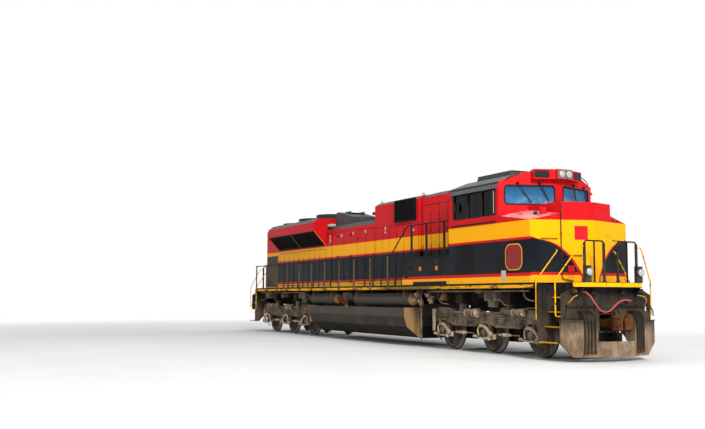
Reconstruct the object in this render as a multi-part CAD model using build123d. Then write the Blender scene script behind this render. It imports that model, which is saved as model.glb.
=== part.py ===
from build123d import *
import math
import os

# A six-axle diesel road locomotive at full size, in millimetres.
# +X points to the cab end, +Y to the locomotive's left, +Z up.
# z = 0 is the lowest point of the wheel flanges, midway between the bogies.

# Running gear
flange = 28                      # flange depth, so the rail head is at this height
wheel_d = 1067
tread_in, tread_out = 678, 818   # back and front face of a wheel, from the centre line
axle_r, journal_r, hub_in = 95, 75, 610
axle_step = 2040                 # between the axles of a bogie
bogie_x = 7090                   # bogie centre from the middle
axle_z = flange + wheel_d / 2

# Platform and deck
deck_top, deck_t = 1860, 60
deck_hw = 1530                   # half width over the side sills
sill_h, sill_t = 140, 80
deck_end = 9750                  # where the full-width deck stops
well_in = 930                    # inner side of the step wells
well_x0, well_x1 = 9860, 10560   # step well from rear plate to pilot plate
nose_tip = 10880                 # front edge of the end platform
band_h = 120                     # depth of the platform's edge band
sill_y, sill_web = 430, 40       # centre sill web position and thickness
sill_bottom = 1270
pin_r, pin_gap = 150, 0.3        # bogie centre pin and its clearance
duct_len, duct_hw, duct_z = 3500, 400, 1112      # motor air duct over each bogie
spring_z, spring_pitch, spring_n = 1050, 70, 4   # rubber springs between bogie and body
spring_top = spring_z + spring_n * spring_pitch

# Body
body_hw = 1525                   # cab and nose half width
wall = 60
cab_x0, cab_x1, cab_apex = 5980, 8360, 8900
nose_x, nose_apex = 9650, 10120
apex_hw = 100                    # half width of the flat at both apexes
eave_z, roof_z, roof_hw = 4470, 4720, 880
floor_z = 2690                   # cab floor and raised walkway
hood_hw, equip_hw = 950, 880
low_x0, low_x1 = -3550, 430      # low engine hood
tall_x1 = 3420                   # tall hood ends, narrower equipment hood begins
hood_end = -9900
low_side, low_roof = 3990, 4150
tall_side, tall_roof = 4560, 4660
flare_x0, flare_x1 = -8390, -3600
rad_roof = 4470

# Shared helpers
seat_gap = 0.3                   # seam between pieces that move on each other
swing_gap = 5                    # gap round a door leaf
hinge_r = 12                     # cab and nose door knuckles
coupler_z = flange + 876
pilot_t = 25

# Front hoses and jumper cable, and what they plug into
jumper_r, socket_r, socket_end = 19, 34, 10665
socket_at = ((-800, 1630), (583, 1412))          # y and z of the two sockets
hose_r, hose_fit_r = 21, 34
hose_y = (-900, -820, -740, -660, 640, 720, 800, 880)
hose_root, hose_top, hose_end = 10640, 1170, 260


def block(x0, x1, y0, y1, z0, z1):
    """A box from its lowest to its highest corner."""
    size = (x1 - x0, y1 - y0, z1 - z0)
    return Pos((x0 + x1) / 2, (y0 + y1) / 2, (z0 + z1) / 2) * Box(*size)


def prism(plane, points, depth):
    """A closed outline on a plane, pushed out along the plane's normal."""
    with BuildPart() as made:
        with BuildSketch(plane):
            with BuildLine():
                Polyline(*points, close=True)
            make_face()
        extrude(amount=depth)
    return made.part


def along_x(points, x0, x1):
    """Outline of (y, z) points, from x0 to x1."""
    return prism(Plane.YZ.offset(x0), points, x1 - x0)


def along_y(points, y0, y1):
    """Outline of (x, z) points, from y0 to y1."""
    return prism(Plane.XZ.offset(-y0), points, -(y1 - y0))


def along_z(points, z0, z1):
    """Outline of (x, y) points, from z0 to z1."""
    return prism(Plane.XY.offset(z0), points, z1 - z0)


def mirrored(points):
    """Both halves of an outline given for y > 0, in order round the shape."""
    return list(points) + [(-y, z) for y, z in reversed(points) if y]


def plan(points):
    """Both halves of a plan given for y > 0."""
    return list(points) + [(x, -y) for x, y in reversed(points) if y]


def rod(start, end, r):
    """A round bar between two points."""
    a, b = Vector(*start), Vector(*end)
    return Plane(origin=a, z_dir=b - a) * Cylinder(
        r, (b - a).length, align=(Align.CENTER, Align.CENTER, Align.MIN)
    )


def tube(points, r, bend):
    """Round bar bent through several points with one bending radius."""
    start = Plane(origin=points[0], z_dir=Vector(*points[1]) - Vector(*points[0]))
    return sweep(start * Circle(r), path=FilletPolyline(*points, radius=bend))


def disc(x, y, z, r, h):
    """An upright round disc standing on z."""
    return Pos(x, y, z) * Cylinder(r, h, align=(Align.CENTER, Align.CENTER, Align.MIN))


def both_sides(piece):
    """The piece and its mirror image across the centre line."""
    return [piece, mirror(piece, Plane.XZ)]


def save(name, *pieces):
    """Writes one sub-part, with each loose solid kept apart."""
    solids = [s for piece in pieces for s in piece.solids()]
    export_step(Compound(children=solids) if len(solids) > 1 else solids[0], f"parts/{name}.step")


# Underframe: deck, side sills, fish-bellied centre sill, bolsters and draft pockets

def platform_plan():
    """Plan of one end platform, between the step wells and over the pilot."""
    return plan([
        (well_x1, well_in), (well_x1, 1068), (10630, 1068), (nose_tip, 839)])


def underframe():
    pocket_hw, pocket_in, pocket_z = 260, 205, 190
    deck = block(-deck_end, deck_end, -deck_hw, deck_hw, deck_top - deck_t, deck_top)
    for side in (1, -1):
        y0, y1 = sorted((side * (deck_hw - sill_t), side * deck_hw))
        deck += block(-deck_end, deck_end, y0, y1, deck_top - sill_h, deck_top - deck_t)
        w0, w1 = sorted((side * (sill_y - sill_web), side * sill_y))
        web = [(-10450, deck_top - deck_t), (-10450, 1500), (-9700, sill_bottom),
               (9700, sill_bottom), (10450, 1500), (10450, deck_top - deck_t)]
        deck += along_y(web, w0, w1)
        f0, f1 = sorted((side * 330, side * 530))
        deck += block(-9700, 9700, f0, f1, sill_bottom, sill_bottom + 30)
    for end in (1, -1):
        ends = [(end * x, y) for x, y in platform_plan()]
        deck += along_z(ends, deck_top - band_h, deck_top)
        x0, x1 = sorted((end * deck_end, end * well_x1))
        deck += block(x0, x1, -well_in, well_in, deck_top - deck_t, deck_top)
        # bolster over the bogie, with its centre pin and side bearing brackets
        cx = end * bogie_x
        deck += block(cx - 300, cx + 300, -1100, 1100, 1480, deck_top - deck_t)
        deck += block(cx - 300, cx + 300, -sill_y, sill_y, sill_bottom, 1480)
        deck += disc(cx, 0, 960, pin_r, sill_bottom - 960)
        # air duct to the motors, under the sill
        deck += block(cx - duct_len / 2, cx + duct_len / 2, -duct_hw, duct_hw, duct_z, sill_bottom)
        for bx in (-1100, 1100):
            for by in (-1050, 1050):
                deck += block(cx + bx - 170, cx + bx + 170, by - 150, by + 150,
                              spring_top + seat_gap, deck_top - deck_t)
        # draft pocket: a box open to the front, hung from the centre sill
        p0, p1 = sorted((end * 9770, end * 10540))
        pocket = block(p0, p1, -pocket_hw, pocket_hw, coupler_z - pocket_z - 50, coupler_z + pocket_z + 50)
        c0, c1 = sorted((end * 9800, end * 10700))
        pocket -= block(c0, c1, -pocket_in, pocket_in, coupler_z - pocket_z, coupler_z + pocket_z)
        pocket += disc(end * 9950, 0, coupler_z - pocket_z, 40, 2 * pocket_z)
        for side in (1, -1):
            w0, w1 = sorted((side * 200, side * pocket_hw))
            pocket += block(p0, p1, w0, w1, coupler_z + pocket_z + 50, 1560)
        deck += pocket
        g0, g1 = sorted((end * 9720, end * 10450))
        deck += block(g0, g1, -sill_y + sill_web, sill_y - sill_web, 1500, 1560)
    # cross members between the bogies carry the hood
    for x in (-4300, -2500, -700, 1100, 2900, 4300):
        deck += block(x - 40, x + 40, -1450, 1450, 1640, deck_top - deck_t)
    # jacking pads under the side sills
    for x in (-4300, 4300):
        for y in (-1360, 1360):
            deck += block(x - 150, x + 150, y - 90, y + 90, 1600, deck_top - deck_t)
    return deck


# Fuel tank with faceted flanks, and the four main air reservoirs over its shoulders
tank_x0, tank_x1 = -3870, 3410
tank_shoulder, tank_neck_hw = 1165, 860
res_r, res_y, res_z = 188, 1225, 1435


def fuel_tank():
    side = [(tank_neck_hw, sill_bottom), (tank_neck_hw, tank_shoulder), (1495, tank_shoulder),
            (1495, 900), (1390, 600), (950, 260)]
    tank = along_x(mirrored(side), tank_x0, tank_x1)
    # end plates stand proud of the shell, as welded flanges
    lip = [(tank_neck_hw, sill_bottom), (tank_neck_hw, tank_shoulder + 14), (1509, tank_shoulder + 14),
           (1509, 896), (1403, 590), (955, 246)]
    for x in (tank_x0, tank_x1 - 18):
        tank += along_x(mirrored(lip), x, x + 18)
    # filler necks on the shoulders
    for y in (-1380, 1380):
        tank += disc(-900, y, tank_shoulder, 55, 45)
    return tank


def reservoir(x0, x1, side):
    """One pressure vessel with dished heads and two hanger straps."""
    dish = 70
    profile = [(0, 0), (0, res_r * 0.55), (dish * 0.55, res_r * 0.9), (dish, res_r)]
    outline = [(x0 + dx, r) for dx, r in profile] + [(x1 - dx, r) for dx, r in reversed(profile)]
    with BuildPart() as made:
        with BuildSketch(Plane.XZ):
            with BuildLine():
                Polyline(*outline, close=True)
            make_face()
        revolve(axis=Axis.X)
    vessel = Pos(0, side * res_y, res_z) * made.part
    for x in (x0 + 350, x1 - 350):
        strap = block(x - 30, x + 30, side * res_y - res_r - 8, side * res_y + res_r + 8,
                      res_z, deck_top - deck_t)
        vessel += strap - (Pos(0, side * res_y, res_z) * Rot(0, 90, 0) * Cylinder(res_r - 1, 40000))
    return vessel


def air_reservoirs():
    made = []
    for side in (1, -1):
        made.append(reservoir(-400, 3560, side))
        made.append(reservoir(-4050, -1750, side))
    return made


def engine_block():
    """Engine and alternator as one plain mass on the deck."""
    return block(-3200, 3000, -560, 560, deck_top, 3550)


# Pilots with step wells
step_z = (460, 820, 1170, 1515)
step_y = (1480, 1300, 1180, 1060)


def step_well(end, side):
    """Rear plate, four treads and inner wall of one corner's steps."""
    def span(a, b):
        return sorted((a, b))
    x0, x1 = span(end * well_x0, end * (well_x0 + 12))
    profile = [(1500, deck_top - deck_t), (1500, 430), (1300, 430), (950, 780), (950, deck_top - deck_t)]
    made = along_x([(side * y, z) for y, z in profile], x0, x1)
    s0, s1 = span(side * (well_in), side * (well_in + 12))
    w0, w1 = span(end * well_x0, end * well_x1)
    made += block(w0, w1, s0, s1, 1100, deck_top - deck_t)
    for z, y in zip(step_z, step_y):
        t0, t1 = span(side * y, side * (y - 200 if z > 500 else y - 180))
        made += block(w0, w1, t0, t1, z - 25, z)
    return made


def pilot(end):
    """End plate between the steps, with its coupler window, and both step wells."""
    sheet = [(-1380, 930), (-1380, 1570), (-1020, deck_top - band_h), (1020, deck_top - band_h),
             (1380, 1570), (1380, 930)]
    x0, x1 = sorted((end * well_x1, end * (well_x1 + pilot_t)))
    plate = along_x(sheet, x0, x1)
    plate -= block(x0 - 10, x1 + 10, -330, 330, 600, coupler_z + 260)
    for side in (1, -1):
        hinge = [(side * 1260, 1180), (side * 1260, 1330), (side * 1200, 1330), (side * 1200, 1180)]
        plate -= along_x(hinge, x0 - 10, x1 + 10)
        # gusset brackets under the platform
        g0, g1 = sorted((side * 860, side * 880))
        gusset = [(end * (well_x1 + pilot_t), 1440), (end * (well_x1 + pilot_t), deck_top - band_h),
                  (end * (nose_tip - 90), deck_top - band_h)]
        plate += along_y(gusset, g0, g1)
        plate += step_well(end, side)
    if end > 0:
        # cable sockets and hose valves
        for y, z in socket_at:
            plate += rod((well_x1, y, z), (socket_end, y, z), socket_r)
        for y in hose_y:
            plate += rod((well_x1, y, hose_top), (hose_root, y, hose_top), hose_fit_r)
    return plate


# Snow plough: swept blade with a shelf along its top and a cut-out round the coupler
def snow_plow():
    blade = along_z(plan([(10585, 1440), (10640, 1440), (10960, 330)]), 120, 960)
    blade -= along_z(plan([(10500, 1500), (10585, 1440), (10615, 1380), (10915, 310)]), 100, 1000)
    front = [(1440, 970), (1440, 420), (1150, 120)]
    blade &= along_x(mirrored(front), 10500, 11000)
    blade -= block(10500, 11000, -560, 560, 480, 1000)
    for side in (1, -1):
        shelf = [(10585, 1445), (10675, 1445), (10895, 600), (10880, 560), (10585, 560)]
        blade += along_z([(x, side * y) for x, y in shelf], 950, 968)
        s0, s1 = sorted((side * 560, side * 580))
        blade += along_y([(10585, 950), (10880, 950), (10880, 300), (10585, 500)], s0, s1)
    return blade


# Cab and nose
def cab_plan(inset):
    """Plan of the cab's front, inset from the outside skin."""
    return plan([(cab_x0 + inset, body_hw - inset), (cab_x1 - inset * 0.3, body_hw - inset),
                 (cab_apex - inset, apex_hw)])


def cab_profile(inset):
    """Cab cross-section above the deck."""
    top = roof_z - inset
    return mirrored([(body_hw - inset, deck_top - 10), (body_hw - inset, eave_z - inset * 0.4),
                     (roof_hw - inset * 0.3, top), (200, top + 30)])


wind_w, wind_h, wind_s, wind_z = 1300, 460, 695, 4130     # windscreen, its centre along the facet
side_windows = ((6300, 6900), (6960, 7560), (7620, 8180))         # panes of a side window
win_z0, win_z1 = 3640, 4270


def facet_plane(x0, x1, hw0, hw1, side, z):
    """Upright plane on a facet of the cab or nose: local X runs outwards from the apex, local Y up."""
    apex = Vector(x1, side * hw1, z)
    out = (Vector(x0, side * hw0, z) - apex).normalized()
    normal = out.cross(Vector(0, 0, 1)) * side
    if normal.X < 0:
        normal = normal * -1
    return Plane(origin=apex, x_dir=out, z_dir=normal)


def windscreen(side, grow, depth0, depth1):
    """The windscreen's outline on its facet, pushed from depth0 to depth1 along the outward normal."""
    plane = facet_plane(cab_x1, cab_apex, body_hw, apex_hw, side, 0)
    up = 1 if plane.y_dir.Z > 0 else -1
    with BuildPart() as made:
        with BuildSketch(plane.offset(depth0)):
            with Locations((wind_s, up * wind_z)):
                RectangleRounded(wind_w + 2 * grow, wind_h + 2 * grow, 70)
        extrude(amount=depth1 - depth0)
    return made.part


def side_opening(x0, x1, side, grow, y0, y1):
    a, b = sorted((side * y0, side * y1))
    return block(x0 - grow, x1 + grow, a, b, win_z0 - grow, win_z1 + grow)


cab_door_y0, cab_door_y1, cab_door_z0, cab_door_z1 = 945, 1450, floor_z + 20, 4330


def cab_shell():
    outer = along_x(cab_profile(0), cab_x0, 9000) & along_z(cab_plan(0), deck_top, 4900)
    room = along_x(cab_profile(wall), cab_x0, 9000) & along_z(cab_plan(wall), deck_top, 4900)
    cab = outer - (room & block(0, 9000, -2000, 2000, floor_z, 4900))
    cab -= room & block(0, 9000, -2000, 2000, deck_top - 10, floor_z - 40)
    for side in (1, -1):
        cab -= windscreen(side, 0, -200, 100)
        for x0, x1 in side_windows:
            cab -= side_opening(x0, x1, side, 0, body_hw - 200, body_hw + 100)
        d0, d1 = sorted((side * (cab_door_y0 - swing_gap), side * (cab_door_y1 + swing_gap)))
        cab -= block(cab_x0 - 50, cab_x0 + 200, d0, d1, cab_door_z0 - swing_gap, cab_door_z1 + swing_gap)
        # hinge knuckles fixed to the rear wall, inboard of the door
        for z in (2950, 3950):
            cab += disc(cab_x0 - 14, side * (cab_door_y0 - swing_gap / 2), z - 60, hinge_r, 60 - seat_gap)
            k0, k1 = sorted((side * (cab_door_y0 - swing_gap / 2), side * (cab_door_y0 - 45)))
            cab += block(cab_x0 - 14, cab_x0, k0, k1, z - 60, z - seat_gap)
    return cab


shade_x0, shade_x1 = 6160, 8330
shade_top, shade_low, shade_out = 4418, 4285, 97


def sunshades():
    """Sloping awnings over the side windows, each a folded sheet with two cheeks."""
    made = []
    for side in (1, -1):
        foot = body_hw + seat_gap
        slope = [(foot, shade_top - 18), (foot + shade_out - 12, shade_low), (foot + shade_out, shade_low + 4),
                 (foot, shade_top)]
        cheek = [(foot, shade_top - 18), (foot + shade_out - 12, shade_low), (foot, shade_low)]
        awning = along_x([(side * y, z) for y, z in slope], shade_x0, shade_x1)
        for x in (shade_x0, shade_x1 - 12):
            awning += along_x([(side * y, z) for y, z in cheek], x, x + 12)
        made.append(awning)
    return made


def cab_glass():
    panes = []
    for side in (1, -1):
        panes.append(windscreen(side, -seat_gap, -34, -22))
        for x0, x1 in side_windows:
            panes.append(side_opening(x0, x1, side, -seat_gap, body_hw - 34, body_hw - 24))
    return panes


def cab_door(side):
    """Rear cab door, hinged on its inboard edge, with a window and a lever handle."""
    d0, d1 = sorted((side * cab_door_y0, side * cab_door_y1))
    leaf = block(cab_x0, cab_x0 + 45, d0, d1, cab_door_z0, cab_door_z1)
    w0, w1 = sorted((side * (cab_door_y0 + 90), side * (cab_door_y1 - 90)))
    leaf -= block(cab_x0 - 10, cab_x0 + 60, w0, w1, 3600, 4180)
    leaf += block(cab_x0 + 16, cab_x0 + 28, w0, w1, 3600, 4180)
    hx, hy = cab_x0 - 14, side * (cab_door_y0 - swing_gap / 2)
    for z in (2950, 3950):
        leaf += disc(hx, hy, z, hinge_r, 60)
        k0, k1 = sorted((hy, side * (cab_door_y0 + 45)))
        leaf += block(hx, cab_x0, k0, k1, z, z + 60)
    leaf += tube([(cab_x0, side * (cab_door_y1 - 40), 3450), (cab_x0 - 45, side * (cab_door_y1 - 40), 3450),
                  (cab_x0 - 45, side * (cab_door_y1 - 150), 3450)], 10, 15)
    return leaf


# Nose: V-fronted, with sloping shoulders each side of a raised middle
shoulder_hw = 800
nose_top = 3840
nose_door_s0, nose_door_s1, nose_door_z0, nose_door_z1 = 70, 690, deck_top + 30, 3700


def shoulder_cut(side, drop):
    """The wedge above one sloping shoulder, dropped by a wall thickness for the inside."""
    def height(x, y):
        return 3390 - 0.144 * (x - nose_x) - 0.266 * (y - body_hw) - drop
    corners = [(8000, shoulder_hw - drop), (10400, shoulder_hw - drop), (10400, 1700), (8000, 1700)]
    low = [Vector(x, side * y, height(x, y)) for x, y in corners]
    high = [Vector(x, side * y, 4300) for x, y in corners]
    faces = [Face(Wire.make_polygon(low, close=True)), Face(Wire.make_polygon(high, close=True))]
    for i in range(4):
        j = (i + 1) % 4
        faces.append(Face(Wire.make_polygon([low[i], low[j], high[j], high[i]], close=True)))
    return Solid(Shell(faces))


def nose_plan(inset):
    return plan([(cab_x1 + (0 if inset == 0 else 30), body_hw - inset), (nose_x - inset * 0.25, body_hw - inset),
                 (nose_apex - inset, apex_hw - inset * 0.1)])


def nose_door_plane():
    return facet_plane(nose_x, nose_apex, body_hw, apex_hw, 1, 0)


def on_facet(plane, s0, s1, d0, d1, z0, z1):
    """A box on a facet: s along it from the apex, d outwards from the skin."""
    up = 1 if plane.y_dir.Z > 0 else -1
    with BuildPart() as made:
        with BuildSketch(plane.offset(d0)):
            with Locations(((s0 + s1) / 2, up * (z0 + z1) / 2)):
                Rectangle(s1 - s0, z1 - z0)
        extrude(amount=d1 - d0)
    return made.part


def nose_hinge():
    """Where the nose door's hinge axis stands, in plan."""
    plane = nose_door_plane()
    return plane.origin + plane.x_dir * (nose_door_s0 - swing_gap / 2) + plane.z_dir * 14


def nose_shell():
    body = along_z(nose_plan(0), deck_top, nose_top)
    hollow = along_z(nose_plan(wall), deck_top - 10, nose_top - wall)
    for side in (1, -1):
        body -= shoulder_cut(side, 0)
        hollow -= shoulder_cut(side, wall)
    cab_solid = along_z(cab_plan(0), deck_top - 20, 4900)
    nose = body - hollow - cab_solid
    plane = nose_door_plane()
    nose -= on_facet(plane, nose_door_s0 - swing_gap, nose_door_s1 + swing_gap, -200, 100,
                     nose_door_z0 - swing_gap, nose_door_z1 + swing_gap)
    at = nose_hinge()
    for z in (2150, 3350):
        nose += disc(at.X, at.Y, z - 60, hinge_r, 60 - seat_gap)
        nose += on_facet(plane, nose_door_s0 - 45, nose_door_s0 - swing_gap / 2, 0, 14, z - 60, z - seat_gap)
    return nose


def nose_door():
    plane = nose_door_plane()
    leaf = on_facet(plane, nose_door_s0, nose_door_s1, -45, 0, nose_door_z0, nose_door_z1)
    at = nose_hinge()
    for z in (2150, 3350):
        leaf += disc(at.X, at.Y, z, hinge_r, 60)
        leaf += on_facet(plane, nose_door_s0 - swing_gap / 2, nose_door_s0 + 45, 0, 14, z, z + 60)
    grip = [plane.origin + plane.x_dir * s + plane.z_dir * d + Vector(0, 0, 3060)
            for s, d in ((610, 0), (610, 45), (500, 45))]
    leaf += tube([tuple(p) for p in grip], 10, 15)
    return leaf


def cab_seats():
    """Two crew seats on pedestals."""
    made = []
    for side in (1, -1):
        y = side * 950
        seat = disc(7250, y, floor_z, 170, 30) + disc(7250, y, floor_z + 30, 55, 330)
        seat += block(7010, 7490, y - 240, y + 240, floor_z + 360, floor_z + 470)
        seat += block(6990, 7090, y - 230, y + 230, floor_z + 470, floor_z + 1090)
        made.append(seat)
    return made


def control_desk():
    """Console in front of the engineer, and the conductor's desk."""
    desk = [(7950, floor_z), (8250, floor_z), (8250, floor_z + 1020), (8130, floor_z + 1060), (7900, floor_z + 830)]
    made = along_y(desk, -1400, -500)
    other = along_y(desk, 500, 1400)
    return [made, other]


# Lights, number boards and roof gear
board_z0, board_z1 = 4520, 4780
board_s1, board_out = 640, 205   # how far the boards run along the facets and stand out from them
lamp_x, lamp_hw, lamp_y, lamp_r = 9150, 240, 112, 92


def headlight_housing():
    """Number boards along both facets of the cab front, with the twin lamp box between them."""
    made = block(cab_apex - 60, lamp_x, -lamp_hw, lamp_hw, board_z0, board_z1)
    body = along_x(cab_profile(0), cab_x0, 9000) & along_z(cab_plan(0), deck_top, 4900)
    for side in (1, -1):
        plane = facet_plane(cab_x1, cab_apex, body_hw, apex_hw, side, 0)
        made += on_facet(plane, 60, board_s1, -120, board_out, board_z0, board_z1)
    made -= body
    middle = (board_z0 + board_z1) / 2
    for y in (-lamp_y, lamp_y):
        made += Pos(lamp_x, y, middle) * Rot(0, 90, 0) * Cylinder(lamp_r + 14, 40)
        made -= Pos(lamp_x + 20, y, middle) * Rot(0, 90, 0) * Cylinder(lamp_r, 60)
    return made


def air_conditioner():
    """Low cooling unit on the cab roof, with raised ribs."""
    unit = along_y([(6050, roof_z + 30), (6150, 4900), (7650, 4900), (7720, roof_z + 30)], -620, 620)
    for x in range(6300, 7600, 240):
        unit += block(x - 20, x + 20, -560, 560, 4890, 4915)
    unit -= along_x(cab_profile(0), cab_x0, 9000)
    return unit


def walkway_cabinets():
    """Equipment cabinets beside the hood that carry the raised walkways."""
    outline = [(3270, hood_hw), (3270, 1500), (cab_x0, 1500), (cab_x0, equip_hw), (tall_x1, equip_hw), (tall_x1, hood_hw)]
    tread = [(3240, hood_hw), (3240, 1530), (cab_x0, 1530), (cab_x0, equip_hw), (tall_x1, equip_hw), (tall_x1, hood_hw)]
    made = along_z(outline, deck_top, floor_z - 30) + along_z(tread, floor_z - 30, floor_z)
    for x in (3900, 4600, 5300):
        made -= block(x - 4, x + 4, 1494, 1510, deck_top + 60, floor_z - 80)
    # steps up from the walkway at the cabinet's rear end
    for z, x in ((2140, 3100), (2420, 3180)):
        made += block(x, 3270, 1080, 1420, z - 20, z)
    return both_sides(made)


# Hoods: inverted-U shells on the deck, meeting end to end
def hood_profile(hw, side_z, top_z, roof_hw_, inset):
    return mirrored([(hw - inset, deck_top - (10 if inset else 0)), (hw - inset, side_z - inset * 0.4),
                     (roof_hw_ - inset * 0.4, top_z - inset)])


def hood_shell(x0, x1, hw, side_z, top_z):
    outer = along_x(hood_profile(hw, side_z, top_z, hw - 170, 0), x0, x1)
    inner = along_x(hood_profile(hw, side_z, top_z, hw - 170, wall), x0 - 1, x1 + 1)
    return outer - inner


engine_doors = (-3000, -1900)    # left edge of each pair of doors
leaf_w, leaf_z0, leaf_z1, leaf_t = 480, deck_top + 110, 3840, 40
leaf_meet = 8


def leaf_hinge(x, outward):
    """Hinge axis of a leaf at edge x; outward is +1 at the pair's right edge."""
    return x + outward * swing_gap / 2, hood_hw + 14


def engine_hood_low():
    hood = hood_shell(low_x0, low_x1, hood_hw, low_side, low_roof)
    for side in (1, -1):
        for x in engine_doors:
            right = x + 2 * leaf_w + leaf_meet
            y0, y1 = sorted((side * (hood_hw - 200), side * (hood_hw + 50)))
            hood -= block(x - swing_gap, right + swing_gap, y0, y1, leaf_z0 - swing_gap, leaf_z1 + swing_gap)
            for edge, outward in ((x, -1), (right, 1)):
                hx, hy = leaf_hinge(edge, outward)
                for z in (2200, 3500):
                    hood += disc(hx, side * hy, z - 50, 10, 50 - seat_gap)
                    b0, b1 = sorted((hx, edge + outward * 45))
                    y2, y3 = sorted((side * hood_hw, side * hy))
                    hood += block(b0, b1, y2, y3, z - 50, z - seat_gap)
    return hood


def engine_door(index, leaf, side):
    """One leaf of a pair: leaf 0 hinges at the rear edge, leaf 1 at the front edge."""
    x = engine_doors[index]
    if leaf == 0:
        x0, x1, edge, outward = x, x + leaf_w, x, -1
    else:
        x0, x1 = x + leaf_w + leaf_meet, x + 2 * leaf_w + leaf_meet
        edge, outward = x1, 1
    y0, y1 = sorted((side * (hood_hw - leaf_t), side * hood_hw))
    made = block(x0, x1, y0, y1, leaf_z0, leaf_z1)
    p0, p1 = sorted((side * hood_hw, side * (hood_hw + 6)))
    made += block(x0 + 45, x1 - 45, p0, p1, leaf_z0 + 60, leaf_z1 - 60)
    hx, hy = leaf_hinge(edge, outward)
    for z in (2200, 3500):
        made += disc(hx, side * hy, z, 10, 50)
        b0, b1 = sorted((hx, edge - outward * 40))
        y2, y3 = sorted((side * hood_hw, side * hy))
        made += block(b0, b1, y2, y3, z, z + 50)
    return made


intake = (1900, 3200, 3890, 4600)   # x and z span of the air intake box


def engine_hood_tall():
    hood = hood_shell(low_x1, tall_x1, hood_hw, tall_side, tall_roof)
    hood += along_x(hood_profile(hood_hw, tall_side, tall_roof, hood_hw - 170, 0), low_x1, low_x1 + wall) \
        & block(low_x1, low_x1 + wall, -1000, 1000, low_side - 40, 4700)
    x0, x1, z0, z1 = intake
    for side in (1, -1):
        a, b = sorted((side * (hood_hw - 200), side * (hood_hw + 100)))
        hood -= block(x0 + 40, x1 - 40, a, b, z0 + 40, tall_side - 40)
    return hood


def intake_screens():
    """A framed bank of upright louvres on each side of the tall hood."""
    x0, x1, z0, z1 = intake
    out = 70
    frame = block(x0, x1, hood_hw, hood_hw + out, z0, z1) - block(x0 + 50, x1 - 50, hood_hw - 10, hood_hw + out + 10, z0 + 50, z1 - 50)
    for i in range(14):
        x = x0 + 50 + (i + 0.5) * (x1 - x0 - 100) / 14
        frame += block(x - 14, x + 14, hood_hw + 10, hood_hw + out - 12, z0 + 50, z1 - 50)
    return both_sides(frame)


def equipment_hood():
    hood = hood_shell(tall_x1, cab_x0, equip_hw, tall_side, tall_roof)
    return hood


def exhaust_silencer():
    """Wedge-topped silencer on the low hood's roof, with the outlet sunk into its slope."""
    side = [(-3500, low_roof), (-3500, 4690), (-3300, 4700), (-2100, 4440), (-750, 4330), (-650, low_roof)]
    made = along_y(side, -560, 560)
    return made - block(-3260, -2820, -260, 260, 4560, 4760)


# Radiator section with flared sides, screens and three roof fans
fan_x = (-8450, -6700, -4900)
cowl_top = (4620, 4690, 4710)
fan_r, cowl_r = 640, 720


def flare_profile(inset):
    return mirrored([(hood_hw - inset, 3440 - inset * 0.4), (1450 - inset, 3980 + inset * 0.3),
                     (1490 - inset, 4300 - inset * 0.4), (1250 - inset * 0.5, rad_roof - inset)])


def screen_plane(side, x=0):
    """Plane of the slanting intake under the flare: local X along the locomotive, origin at its lower edge."""
    run = Vector(0, side * (1450 - hood_hw), 3980 - 3440)
    out = Vector(1, 0, 0).cross(run) * side
    if out.Z > 0:
        out = out * -1
    return Plane(origin=(x, side * hood_hw, 3440), x_dir=(1, 0, 0), z_dir=out), run.length


def screen_box(side, x0, x1, s0, s1, d0, d1):
    plane, length = screen_plane(side)
    up = 1 if plane.y_dir.Z > 0 else -1
    with BuildPart() as made:
        with BuildSketch(plane.offset(d0)):
            with Locations(((x0 + x1) / 2, up * (s0 + s1) / 2)):
                Rectangle(x1 - x0, s1 - s0)
        extrude(amount=d1 - d0)
    return made.part


screen_bays = ((-8310, -6030), (-5960, -3680))
screen_s = (70, 670)


def radiator_hood():
    base = along_x(hood_profile(hood_hw, 4330, rad_roof, 780, 0), hood_end, low_x0)
    flare = along_x(flare_profile(0), flare_x0, flare_x1)
    inner = along_x(hood_profile(hood_hw, 4330, rad_roof, 780, wall), hood_end + wall, low_x0 + 1)
    pocket = along_x(flare_profile(wall), flare_x0 + wall, flare_x1 - wall)
    hood = base + flare - inner - pocket
    front = along_x(hood_profile(hood_hw, 4330, rad_roof, 780, 0), low_x0 - wall, low_x0) \
        & block(low_x0 - wall, low_x0, -1000, 1000, low_side - 40, 4600)
    hood += front
    for side in (1, -1):
        for x0, x1 in screen_bays:
            hood -= screen_box(side, x0, x1, *screen_s, -90, 30)
    # rear lamp box and number boards
    hood += block(hood_end - 70, hood_end, -620, 620, 3960, 4180)
    for y in (-105, 105):
        hood -= Pos(hood_end - 60, y, 4070) * Rot(0, 90, 0) * Cylinder(75, 60)
    for side in (1, -1):
        b0, b1 = sorted((side * 250, side * 580))
        hood -= block(hood_end - 80, hood_end - 60, b0, b1, 3990, 4150)
    for x, top in zip(fan_x, cowl_top):
        hood += disc(x, 0, rad_roof - wall, cowl_r, top - rad_roof + wall)
        hood -= disc(x, 0, rad_roof - wall - 20, fan_r + 15, 600)
        # spider that carries the fan's motor
        for angle in (0, 60, 120):
            arm = Pos(x, 0, rad_roof - 40) * Rot(0, 0, angle) * Box(2 * (fan_r + 16), 50, 30)
            hood += arm
        hood += disc(x, 0, rad_roof - 55, 110, 60)
    return hood


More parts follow.
